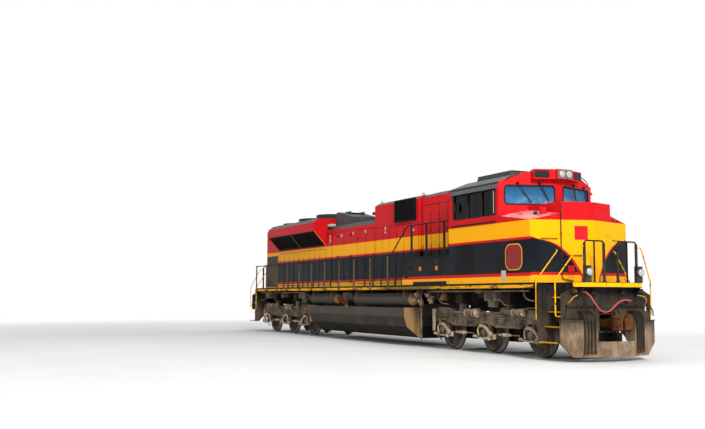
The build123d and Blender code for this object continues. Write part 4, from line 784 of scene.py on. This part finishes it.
def makeCabDetails():
    frames, wipers, rails, curtain = (Shape() for _ in range(4))
    for s in sides:
        run, z, w, h = cab["screen"]
        frames.gasket(onFacet("cab", s, run, z), s * along("cab", s), w, h, *cab["screenFrame"])
        for x0, x1 in cab["windows"]:
            middle = ((x0 + x1) / 2, s * cab["side"], cab["windowZ"])
            frames.gasket(middle, (-s, 0, 0), x1 - x0, cab["windowTall"], *cab["windowFrame"])
        frames.blocks(s, 0.005, *cab["pillars"])
        frames.blocks(s, 0.01, cab["rest"], cab["mirror"])
        frames.pipe([(x, s * y, z) for x, y, z in cab["mirrorArm"]], 0.008, 8, 1)
        curtain.blocks(s, 0.01, cab["curtain"])
        curtain.blocks(s, 0.004, cab["strip"])
        for top, low, z in cab["wipers"][s]:
            a, b = onFacet("cab", s, top, 4.43, 0.045), onFacet("cab", s, low, z, 0.035)
            tip = (b - a) / np.linalg.norm(b - a)
            wipers.pipe((onFacet("cab", s, top, 4.45), a, b), 0.009, 8, 1)
            wipers.pipe((b - tip * 0.30, b + tip * 0.10), 0.014, 8)
            wipers.lathe(((-0.02, 0.02), (0.05, 0.03)), a - (0.03, 0, 0), "X", 12)
        rails.pipe([onFacet("cab", s, *place) for place in cab["rail"]], 0.012, 8, 1)    # on the roof's front slope
    frames.make("windowGaskets", "rubberBlack")
    wipers.make("windscreenWipers", "rubberBlack", smooth=True)
    rails.make("cabGrabRails", "black", smooth=True)
    curtain.make("cabCurtains", "platePale")


# Lamps: place, which way each looks, and the (distance, radius) profiles of bezel and lens. Boards are blank.
headlights = dict(
    z=4.65, boardRun=0.43, boardOut=0.205, board=(0.36, 0.16, 0.03), boardFrame=(0.37, 0.17, 0.03, 0.014, 0.010, 0.0),
    rearBoard=(-9.975, -9.955, 0.27, 0.56, 4.005, 4.135), panel=9.1495, panelSize=(0.46, 0.235, 0.02),
    kinds=(((9.170, 0.112, 4.65), 1, 28, ((-0.03, 0.092), (-0.002, 0.108), (0.010, 0.105), (0.0101, 0.088)),
            ((-0.01, 0.088), (0.014, 0.086), (0.026, 0.068), (0.033, 0.040), (0.035, 0.012))),
           ((10.915, 0.79, 2.10), 1, 28, ((-0.09, 0.078), (-0.004, 0.098), (0.004, 0.094), (0.0041, 0.08)),
            ((-0.01, 0.08), (0.008, 0.078), (0.020, 0.060), (0.026, 0.034), (0.028, 0.010))),
           ((-9.965, 0.105, 4.07), -1, 24, ((-0.02, 0.074), (0.012, 0.088), (0.016, 0.084), (0.0161, 0.070)),
            ((-0.01, 0.070), (0.019, 0.068), (0.030, 0.052), (0.036, 0.030), (0.038, 0.010)))))


def makeHeadlights():
    d = headlights
    boards, lamps, lenses, face = (Shape() for _ in range(4))
    for s in sides:
        centre = onFacet("cab", s, d["boardRun"], d["z"], d["boardOut"])
        boards.plate(roundedRing(*d["board"]), centre, s * along("cab", s), 0.006, 0.003)
        boards.gasket(centre, s * along("cab", s), *d["boardFrame"])
        for (x, y, z), way, segments, bezel, lens in d["kinds"]:
            lamps.lathe(bezel, (x, s * y, z), "X", segments, way)
            lenses.lathe(lens, (x, s * y, z), "X", segments, way)
        boards.blocks(s, 0.01, d["rearBoard"])
    face.plate(roundedRing(*d["panelSize"]), (d["panel"], 0, d["z"]), (0, 1, 0), 0.010, 0.004)
    boards.make("numberBoardsBlank", "boardDark")
    face.make("lampPanel", "lampMetal")
    lamps.make("lampBezels", "lampMetal", smooth=True)
    lenses.make("lampLenses", "lens", smooth=True)


noseParts = dict(
    irons=((-1, 0.82, 1.22, 2.93), (1, 0.82, 1.22, 2.93), (1, 0.78, 1.12, 3.44), (-1, 0.20, 0.62, 2.52),
           (1, 0.78, 1.12, 2.55)), ironOut=0.055,    # side, run from and to, and z
    pipe=((0.72, 3.80, 0.02), (0.72, 2.0, 0.02), (0.70, 1.95, 0.05), (0.45, 1.90, 0.06)),    # run, z and out
    clips=(3.5, 3.05, 2.55, 2.1),
    panels=((0.20, 3.075, 0.34, 0.34), (0.47, 2.20, 0.16, 0.15)),    # run, z, width and height
    lamp=((0.0, 0.085), (0.16, 0.085), (0.18, 0.07), (0.185, 0.02)), lampPlace=(9.42, -0.93, 3.55),
    boss=((0.0, 0.05), (0.09, 0.05), (0.11, 0.03)), bossPlace=(9.30, -1.08, 3.52),
    plate=(0.20, 0.25, 0.015), platePlace=(8.55, 2.05), side=1.525,
    shield=(8.98, 2.50), rim=(0.70, 0.66, 0.20), field=(0.65, 0.61, 0.18))    # x and z; width, height and corners


# Grab irons, the pipe with its clips on the right, plain panels, lamp and boss on top, and the cab's blank plates
def makeNoseDetails():
    d = noseParts
    irons, pipes, plates, red, panel, rim = (Shape() for _ in range(6))
    for s, run0, run1, z in d["irons"]:
        irons.pipe([onFacet("nose", s, run, z, out) for run, out in ((run0, 0), (run0, d["ironOut"]),
                                                                     (run1, d["ironOut"]), (run1, 0))], 0.010, 8)
    pipes.pipe([onFacet("nose", -1, *place) for place in d["pipe"]], 0.013)
    for z in d["clips"]:
        pipes.pipe([onFacet("nose", -1, run, z, out) for run, out in ((0.69, 0.002), (0.70, 0.036), (0.74, 0.036),
                                                                      (0.75, 0.002))], 0.006, 6, 1)
    for run, z, w, h in d["panels"]:
        red.plate(roundedRing(w, h, 0.012), onFacet("nose", -1, run, z), -along("nose", -1), 0.004)
    red.lathe(d["lamp"], d["lampPlace"], "Z", 24)
    pipes.lathe(d["boss"], d["bossPlace"], "Z", 16)
    irons.make("noseGrabIrons", "black", smooth=True)
    pipes.make("nosePipe", "black", smooth=True)
    red.make("noseRedPanels", "redPlain")
    for s in sides:
        (plateX, plateZ), (x, z) = d["platePlace"], d["shield"]
        plates.plate(roundedRing(*d["plate"]), (plateX, s * d["side"], plateZ), (-s, 0, 0), 0.004)
        rim.plate(roundedRing(*d["rim"], 6), (x, s * d["side"], z), (-s, 0, 0), 0.003, 0.001)
        panel.plate(roundedRing(*d["field"], 6), (x, s * (d["side"] + 0.003), z), (-s, 0, 0), 0.003, 0.001)
    plates.make("blankPlates", "platePale")
    rim.make("sidePanelRims", "yellowPlain")
    panel.make("sidePanels", "darkRed")


makeHoodDoors()
makeRadiator()
makeRoof()
makeWalkways()
print("stage: hoods and walkways")
makeCabDetails()
makeHeadlights()
makeNoseDetails()
print("stage: cab and nose")


# Platform ends, the same at front and rear but for a dark plate at the front behind the plough's opening, painted
# shade
ends = dict(    # blocks as x, y and z from and to
    pocket=((10.02, 10.40, -0.34, 0.34, 0.52, 0.69), (10.42, 10.56, -0.30, -0.20, 0.56, 0.70),
            (10.42, 10.56, 0.20, 0.30, 0.56, 0.70)), bracket=(10.34, 10.42, -0.62, 0.62, 0.30, 0.66),
    posts=((10.728, 10.772, 0.176, 0.244, 1.862, 2.790), (10.728, 10.772, 0.766, 0.834, 1.862, 2.790)),
    feet=((10.716, 10.784, 0.155, 0.265, 1.862, 1.885), (10.716, 10.784, 0.745, 0.855, 1.862, 1.885)),
    steps=((0.460, 1.48), (0.820, 1.30), (1.170, 1.18), (1.515, 1.06)),    # z and y of each edge
    stepX=(9.875, 10.555),
    loop=((10.585, 1.20, 1.345), (10.68, 1.18, 1.42), (10.70, 1.10, 1.52), (10.70, 0.98, 1.55),
          (10.62, 0.93, 1.555), (10.585, 0.93, 1.555)),
    lever=((10.66, 0.30, 1.30), (10.66, 1.18, 1.30), (10.69, 1.27, 1.29), (10.71, 1.33, 1.20), (10.71, 1.34, 1.06)),
    link=((10.66, 0.30, 1.30), (10.72, 0.16, 1.27), (10.86, 0.10, 1.15), (10.95, 0.08, 1.10)),
    leverPosts=[(10.585, 10.675, y - 0.012, y + 0.012, 1.285, 1.335) for y in (0.42, 0.90, 1.22)],
    angles=((10.584, 10.610, 0.348, 0.392, 0.95, 1.60), (10.584, 10.610, 1.298, 1.342, 0.95, 1.50),
            (10.584, 10.610, 0.40, 1.36, 1.005, 1.045)),
    boltX=10.610, boltRow=(0.46, 1.34, 0.11, 1.025), boltColumn=(1.08, 1.58, 0.1, 0.37), bolt=0.014,
    boxes=((10.584, 10.66, 0.93, 1.10, 1.585, 1.715), (10.584, 10.66, 0.38, 0.52, 1.56, 1.70)),
    cap=((0.0, 0.034), (0.02, 0.034), (0.025, 0.02)), capPlace=(10.66, 1.015, 1.65),
    pad=(10.52, 10.60, 0.262, 0.330, 0.70, 1.15))


def makeEnds():
    d = ends
    yellow, irons, rusty, bolts, dark, posts, pocket = (Shape() for _ in range(7))
    for e in sides:
        pocket.blocks(1, 0.015, *d["pocket"], e=e)
        # at the front a dark plate fills the plough's opening, standing in for the shade there; the draft-gear
        # pockets are real parts
        if e > 0:
            pocket.blocks(1, 0.015, d["bracket"])
        for s in sides:
            posts.blocks(s, 0.008, *d["posts"], e=e)
            posts.blocks(s, 0.005, *d["feet"], e=e)
            for z, y in d["steps"]:
                yellow.blocks(s, 0.003, (*d["stepX"], y - 0.006, y + 0.005, z - 0.030, z + 0.003), e=e)
            for shape, path, r in ((yellow, "loop", 0.013), (irons, "lever", 0.015), (irons, "link", 0.013)):
                shape.pipe([(e * x, s * y, z) for x, y, z in d[path]], r, 8)
            irons.blocks(s, 0.004, *d["leverPosts"], e=e)
            dark.blocks(s, 0.004, *d["angles"], e=e)
            dark.blocks(s, 0.012, *d["boxes"], e=e)
            dark.blocks(s, 0.01, d["pad"], e=e)
            *row, rowZ = d["boltRow"]
            *column, columnY = d["boltColumn"]
            places = [(y, rowZ) for y in np.arange(*row)] + [(columnY, z) for z in np.arange(*column)]
            bolts.domes([(e * d["boltX"], s * y, z) for y, z in places], d["bolt"], "X", e)
            x, y, z = d["capPlace"]
            rusty.lathe(d["cap"], (e * x, s * y, z), "X", 12, e)
    posts.make("platformPosts", "black")
    pocket.make("draftPocketsAndShadePlate", "motor")
    yellow.make("stepEdges", "stepYellow")
    irons.make("releaseLevers", "underframe", smooth=True)
    rusty.make("junctionCaps", "rust", smooth=True)
    bolts.make("pilotBolts", "pilot")
    dark.make("pilotStiffeners", "pilot")


couplings = dict(
    body=((-0.058, 0.012), (-0.056, 0.024), (-0.030, 0.032), (-0.012, 0.028), (0.0, 0.024), (0.016, 0.0265),
          (0.020, 0.022)),
    valve=((-0.050, 0.036), (-0.010, 0.036), (-0.004, 0.031), (0.0, 0.026)), handle=10.598,
    socket=((-0.075, 0.048), (-0.045, 0.048), (-0.040, 0.039), (-0.004, 0.037), (0.0, 0.026)))


# Valve and handle above each hose, and the cast coupling on its lower end: a turned body with a side lug
def makeCouplings():
    sockets, valves = Shape(), Shape()
    back = couplings["handle"]
    for i, y in enumerate(hoses["across"]):
        x, _, z = hosePoints(y)[-1]
        end = Shape()
        end.lathe(couplings["body"], (x, y, z), "Z", 14)
        end.block((x - 0.020, y - 0.033, z - 0.052), (x + 0.033, y + 0.004, z - 0.018))
        coupling = end.make(f"hoseCoupling{i + 1}", "rust", smooth=True)
        valves.lathe(couplings["valve"], (hoses["root"], y, hoses["top"]), "X", 12)
        valves.block((back, y - 0.008, 1.195), (back + 0.020, y + 0.008, 1.275), 0.004)
        valves.block((back, y - 0.010, 1.262), (back + 0.057, y + 0.010, 1.278), 0.004)
    for place in (cable["points"][0], cable["points"][-1]):
        sockets.lathe(couplings["socket"], place, "X", 20)
    sockets.make("jumperSockets", "underframe", smooth=True)
    valves.make("hoseValves", "rust", smooth=True)


coupler = dict(
    ribs=((0.775, 0.904, 1.033), ((10.935, -0.095), (11.00, -0.243), (11.12, -0.268), (11.29, -0.240)), 0.016),
    guards=((0.724, 1.084), ((10.935, 0.09), (10.99, 0.238), (11.15, 0.238), (11.185, 0.17),
                             (11.155, 0.105)), 0.014),    # heights, x and y of the path, radius
    slabs=((10.06, 10.86, -0.02, 0.02, 0.980, 0.998), (10.86, 10.925, -0.135, 0.135, 0.760, 1.048),
           (10.06, 10.86, -0.078, -0.066, 0.885, 0.925), (11.14, 11.27, -0.275, -0.250, 0.84, 0.97)),
    face=(11.300, 11.3145, -0.05, 0.05, 0.880, 0.928), pin=(11.115, 0.170),
    lift=((11.02, -0.06, 0.72), (11.02, -0.06, 0.66), (10.93, -0.02, 0.62), (10.86, 0.06, 0.64)),
    rolls=((11.284, -0.062, 0.030), (11.281, 0.060, 0.033), (11.247, 0.150, 0.034), (11.185, 0.203, 0.026)))


# Cast ribs, pin heads, lock lift and rounded knuckle faces, which swing with the couplers
def makeCouplerDetails():
    d = coupler
    for word, e in (("Front", 1), ("Rear", -1)):
        head, jaw = Shape(), Shape()

        def at(x, y, z):
            return e * x, e * y, z
        for heights, path, r in (d["ribs"], d["guards"]):
            for z in heights:
                head.pipe([at(x, y, z) for x, y in path], r, 8, 1)
        head.blocks(e, 0.01, *d["slabs"], e=e)
        head.lathe(((0.0, 0.036), (0.018, 0.036), (0.026, 0.022)), at(*d["pin"], 1.082), "Z", 16)
        head.lathe(((-0.032, 0.02), (-0.026, 0.032), (0.0, 0.032)), at(*d["pin"], 0.726), "Z", 16)
        head.pipe([at(*place) for place in d["lift"]], 0.013, 8)
        head.lathe(((-0.02, 0.03), (0.02, 0.03), (0.024, 0.016)), at(11.00, -0.05, 1.092), "Z", 12)
        for x, y, r in d["rolls"]:
            jaw.lathe(((-0.132, r * 0.8), (-0.126, r), (0.126, r), (0.132, r * 0.8)), at(x, y, 0.904), "Z", 14)
        jaw.blocks(e, 0.004, d["face"], e=e)
        head.make(f"couplerRibs{word}", "rust", f"coupler_{word.lower()}", smooth=True)
        jaw.make(f"knuckleFaces{word}", "rust", f"knuckle_{word.lower()}", smooth=True)


# Under the deck: boxes as x, y and z ranges, pipes as paths with a radius, and valves as x, z and radius
underDeck = dict(
    boxes=((7.34, 7.89, 1.06, 1.30, 1.40, 1.66), (7.44, 7.74, 1.08, 1.25, 1.24, 1.40),
           (6.90, 7.12, 1.10, 1.28, 1.60, 1.74),
           (5.16, 5.38, 1.16, 1.30, 1.66, 1.76), (-5.50, -4.70, 1.05, 1.28, 1.42, 1.66),
           (-5.30, -4.85, 1.05, 1.22, 1.24, 1.42), (-9.16, -8.55, 1.05, 1.28, 1.42, 1.66),
           (-1.72, -0.96, 0.95, 1.15, 1.38, 1.66), (-1.50, -1.20, 0.98, 1.22, 1.20, 1.36),
           (-7.35, -7.00, 1.08, 1.28, 1.46, 1.66), (-3.0, -2.8, 1.20, 1.42, 1.70, 1.76),
           (4.15, 4.42, 0.95, 1.15, 1.45, 1.72)),
    pipes=((0.020, (7.80, 1.24, 1.46), (8.02, 1.24, 1.42), (8.18, 1.24, 1.30), (8.36, 1.24, 1.285)),
           (0.024, (3.99, 1.24, 1.74), (3.99, 1.24, 0.22)),
           (0.022, (3.70, 1.22, 1.66), (4.20, 1.22, 1.66), (4.30, 1.22, 1.52), (4.70, 1.22, 1.50)),
           (0.018, (3.55, 1.20, 1.42), (3.85, 1.20, 1.42), (3.99, 1.20, 1.30)),
           (0.021, (4.6, 1.38, 1.66), (9.4, 1.38, 1.66)),
           (0.021, (-9.6, 1.38, 1.66), (-4.5, 1.38, 1.66)),
           (0.020, (-4.55, 1.25, 1.60), (-4.30, 1.25, 1.35), (-4.12, 1.25, 1.35)),
           (0.014, (5.05, 1.30, 1.74), (5.05, 1.30, 1.35), (5.6, 1.30, 1.30)),
           (0.018, (9.05, 1.30, 1.72), (9.15, 1.32, 1.45), (9.60, 1.32, 1.40)),
           (0.016, (-9.6, 1.30, 1.35), (-9.2, 1.30, 1.35), (-9.0, 1.30, 1.50))),
    valves=((3.78, 1.58, 0.085), (3.98, 1.38, 0.10), (4.36, 1.60, 0.075), (4.55, 1.42, 0.085), (3.58, 1.44, 0.07)),
    valve=((0.0, 0.4), (0.03, 0.9), (0.05, 1.0), (0.07, 0.7), (0.10, 0.35), (0.13, 0.6), (0.14, 0.2)),
    cap=((0.0, 0.052), (0.05, 0.052), (0.06, 0.03)), capPlace=(-1.36, 1.25, 1.31),
    hangers=(-3.4, -1.9, 0.1, 1.6, 3.1), hanger=(-0.035, 0.035, 1.10, 1.36, 1.70, 1.785))


def makeUnderDeck():
    d = underDeck
    boxes, pipes, valves, red = (Shape() for _ in range(4))
    for s in sides:
        boxes.blocks(s, 0.018, *d["boxes"])
        for r, *path in d["pipes"]:
            pipes.pipe([(x, s * y, z) for x, y, z in path], r)
        for x, z, r in d["valves"]:
            valves.lathe([(depth, r * part) for depth, part in d["valve"]], (x, s * 1.20, z), "Y", 8, s)
            valves.block((x - 0.03, s * 1.16, z - 1.3 * r), (x + 0.02, s * 1.30, z + 0.02), 0.01)
        x, y, z = d["capPlace"]
        red.lathe(d["cap"], (x, s * y, z), "Y", 16, s)
        for x in d["hangers"]:
            boxes.blocks(s, 0.01, d["hanger"], x=x)
    boxes.make("underDeckBoxes", "bogie")
    pipes.make("underDeckPipes", "bogie", smooth=True)
    valves.make("drainValves", "paleDust")
    red.make("fillerCaps", "redPlain", smooth=True)


# Bogie fittings: x from an axle or from the bogie's centre, and z
bogie = dict(
    centre=7.09, axles=(-2.04, 0.0, 2.04), axleZ=0.5615,
    links=((1.175, 0.044, 10, 2, (-0.12, 0.735), (0.02, 0.745), (0.14, 0.70), (0.25, 0.61), (0.34, 0.53)),
           (1.165, 0.026, 8, 2, (-0.10, 0.73), (-0.22, 0.70), (-0.24, 0.58), (-0.20, 0.47)),
           # each as y, radius, segments and bends, and its path
           (1.17, 0.020, 8, 1, (-0.40, 0.46), (-0.22, 0.42), (0.10, 0.405), (0.56, 0.415))),
    eye=((-0.03, 0.045), (-0.02, 0.066), (0.02, 0.066), (0.035, 0.050), (0.05, 0.02)),
    lugs=((-0.44, -0.30, 1.13, 1.21, 0.42, 0.49), (0.00, 0.22, 1.13, 1.21, 0.385, 0.44),
          (0.24, 0.31, 1.13, 1.21, 0.36, 0.50), (0.50, 0.56, 1.13, 1.21, 0.40, 0.53)),    # x, y and z from and to
    cover=((0.0, 0.098), (0.012, 0.098), (0.020, 0.085), (0.022, 0.05), (0.035, 0.045), (0.040, 0.02)),
    slack=((0.74, 0.80, 0.030), (0.90, 1.16, 0.046), (1.18, 1.23, 0.032)),    # x from and to, radius
    cylinders=((-0.78, -0.24, 1.08, 0.112), (1.33, 1.79, 1.12, 0.088)),    # x from and to, z, radius
    flanges=(((-2.56, 0.98), (-1.62, 0.965), (-1.38, 0.90), (-0.90, 0.885), (-0.20, 0.905), (0.35, 0.955),
              (1.45, 0.955), (2.50, 0.90)),
             ((-2.50, 0.835), (-2.30, 0.865), (-1.80, 0.845), (-1.55, 0.722), (-0.50, 0.722), (-0.22, 0.81),
              (0.22, 0.81), (0.50, 0.722), (1.55, 0.722), (1.80, 0.845), (2.30, 0.865), (2.50, 0.835))),
    castings=((-2.60, -2.48, 1.105, 1.165, 0.52, 1.06), (2.50, 2.60, 1.105, 1.165, 0.52, 0.95),
              (-2.62, -2.40, 1.105, 1.165, 1.04, 1.16)),
    linkage=((0.80, 1.27, 1.112, 1.20, 1.06, 1.17), (0.86, 1.20, 1.112, 1.20, 1.17, 1.23),
             (-1.45, -1.05, 1.112, 1.20, 1.05, 1.11)),
    pipes=((0.016, (-0.24, 1.18, 1.08), (0.10, 1.17, 1.07), (0.80, 1.15, 1.10)),
           (0.013, (0.05, 1.16, 1.13), (0.60, 1.16, 1.00), (1.33, 1.16, 1.08)),
           (0.014, (1.79, 1.18, 1.20), (2.10, 1.18, 1.24), (2.35, 1.16, 1.22), (2.45, 1.14, 1.05)),
           (0.012, (-2.30, 1.12, 1.20), (-1.60, 1.12, 1.20), (-1.40, 1.12, 1.08), (-0.85, 1.12, 1.10)),
           (0.014, (2.20, 1.13, 0.80), (2.20, 1.13, 0.42)),
           (0.020, (-2.62, 1.06, 0.62), (-2.66, 1.00, 0.42), (-2.52, 0.86, 0.24)),
           (0.020, (2.62, 1.06, 0.62), (2.66, 1.00, 0.42), (2.52, 0.86, 0.24))))


# Swinging arms over the axle boxes, brake rods and cylinders, axle covers, flanges and pipes, on each bogie
def makeBogieFittings():
    d = bogie
    for word, turn in (("Front", 1), ("Rear", -1)):
        arms, rods, covers, drums = (Shape() for _ in range(4))

        def at(x, y, z):
            return turn * (d["centre"] + x), y, z
        for s in sides:
            for axle in d["axles"]:
                for y, r, segments, bends, *path in d["links"]:
                    arms.pipe([at(axle + x, s * y, z) for x, z in path], r, segments, bends)
                arms.lathe(d["eye"], at(axle + 0.36, s * 1.175, 0.525), "Y", 14, s)
                arms.blocks(s, 0.02, *d["lugs"], e=turn, x=d["centre"] + axle)
                covers.lathe(d["cover"], at(axle, s * 1.142, d["axleZ"]), "Y", 20, s)
                covers.domes([at(axle + 0.075 * math.cos(a), s * 1.160, d["axleZ"] + 0.075 * math.sin(a))
                              for a in 1.05 * np.arange(6)], 0.011, "Y", s)
                if axle < 2:    # rod and slack adjuster to the next axle
                    rods.pipe([at(axle + x, s * 1.15, 0.53) for x in (0.55, 1.60)], 0.014, 8)
                    for x0, x1, r in d["slack"]:
                        arms.pipe([at(axle + x, s * 1.16, 0.53) for x in (x0, x1)], r)
            for x0, x1, z, r in d["cylinders"]:
                cap = ((0.0, r + 0.014), (0.022, r + 0.014), (0.030, r), (0.052, 0.6 * r), (0.056, 0.3 * r),
                       (0.085, 0.25 * r), (0.088, 0.08 * r))
                drums.lathe(cap, at(x1, s * 1.18, z), "X", 20, turn)
                drums.domes([at(x1 + 0.022, s * 1.18 + r * math.cos(a), z + r * math.sin(a))
                             for a in math.pi / 4 * np.arange(8)], 0.014, "X", turn)
                ring = ((-0.014, r - 0.012), (-0.012, r + 0.008), (0.012, r + 0.008), (0.014, r - 0.012))
                for x in (x1 - 0.13, x0 + 0.06):
                    drums.lathe(ring, at(x, s * 1.18, z), "X", 20)
            for path in d["flanges"]:
                rods.pipe([at(x, s * 1.108, z) for x, z in path], 0.016, 8, 1)
            arms.blocks(s, 0.02, *d["castings"], e=turn, x=d["centre"])
            rods.blocks(s, 0.02, *d["linkage"], e=turn, x=d["centre"])
            for r, *path in d["pipes"]:
                rods.pipe([at(x, s * y, z) for x, y, z in path], r, 8)
        body = f"bogie_{word.lower()}"
        arms.make(f"bogieArms{word}", "paleDust", body, smooth=True)
        rods.make(f"bogieRods{word}", "bogie", body, smooth=True)
        drums.make(f"brakeCylinderCaps{word}", "paleDust", body, smooth=True)
        covers.make(f"axleCovers{word}", "bogie", body, smooth=True)


rear = dict(door=((-9.915, -0.36, 1.95), (-9.895, 0.36, 3.62)), louvreY=(0.46, 0.86), pitch=0.065, slat=0.034,
            handle=((-9.91, 0.26, 2.75), (-9.97, 0.26, 2.75), (-9.97, 0.14, 2.75)),
            irons=(3.50, 3.75), iron=((-9.90, 0.50), (-9.96, 0.50), (-9.96, 0.84), (-9.90, 0.84)))


# Door, louvres and irons on the rear of the radiator hood
def makeRear():
    door, louvres, irons = (Shape() for _ in range(3))
    door.block(*rear["door"], 0.02)
    irons.pipe(rear["handle"], 0.010, 8, 1)
    y0, y1 = rear["louvreY"]
    for s in sides:
        for z in np.arange(2.05, 3.35, rear["pitch"]):
            louvres.block((-9.925, s * y0, z), (-9.898, s * y1, z + rear["slat"]), 0.008)
        for z in rear["irons"]:
            irons.pipe([(x, s * y, z) for x, y in rear["iron"]], 0.011, 8)
    door.make("rearDoor", "livery")
    louvres.make("rearEndLouvres", "louvre")
    irons.make("rearIrons", "black", smooth=True)


makeEnds()
makeCouplings()
makeCouplerDetails()
makeUnderDeck()
makeBogieFittings()
makeRear()
print("stage: ends, underside and bogies")


# Studio: metres and watts. The floor is pale near the locomotive and white further out.
studio = dict(
    floor=220, tones=("#DAD8D4", "#E6E4E0"), fade=(12.5, 30.0), sky=(0.80, 0.89, 1.0, 1), skyStrength=0.42,
    lamps=(("keyFront", (38, -9, 17), (8, 0, 2.5), 7, 12800), ("fillSide", (2, -32, 9), (0, 0, 2.5), 15, 1700),
           ("fillBack", (-10, 26, 16), (0, 0, 2.5), 16, 4200), ("top", (0, -2, 24), (0, 0, 2.5), 22, 2600)))


# Floor, area lamps and world. The white shows to the camera, reflections and glass alone: it adds no light.
def makeStage():
    def seen(r):
        rays = r.add("LightPath").node.outputs
        return r.either(rays["Is Camera Ray"], rays["Is Glossy Ray"], rays["Is Transmission Ray"])
    half = studio["floor"]
    data = bpy.data.meshes.new("floor")
    data.from_pydata([(-half, -half, 0), (half, -half, 0), (half, half, 0), (-half, half, 0)], [], [(0, 1, 2, 3)])
    floor = bpy.data.objects.new("floor", data)
    scene.collection.objects.link(floor)
    r = paint("studioFloorPale")
    pale, light = studio["tones"]
    far = r.add("MapRange", r.add("VectorMath", r.place, operation="LENGTH"), *studio["fade"])
    near = r.add("BsdfDiffuse", r.coats(pale, (r.cloud(2500), light)))
    r.add("OutputMaterial", r.add("MixShader", r.times(far, seen(r)), near, r.add("Emission", Strength=1.0)))
    data.materials.append(r.owner)
    for label, place, aim, size, power in studio["lamps"]:
        lamp = bpy.data.lights.new(label, "AREA")
        lamp.size, lamp.energy = size, power
        holder = bpy.data.objects.new(label, lamp)
        holder.location = place
        holder.rotation_euler = (Vector(aim) - Vector(place)).to_track_quat("-Z", "Y").to_euler()
        scene.collection.objects.link(holder)
    scene.world = bpy.data.worlds.new("studio")
    w = Recipe(scene.world)
    backs = [w.add("Background", Color=colour, Strength=strength)
             for colour, strength in ((studio["sky"], studio["skyStrength"]), ("#FFFFFF", 1.0))]
    w.add("OutputWorld", w.add("MixShader", seen(w), *backs))


makeStage()
print("stage: lights")
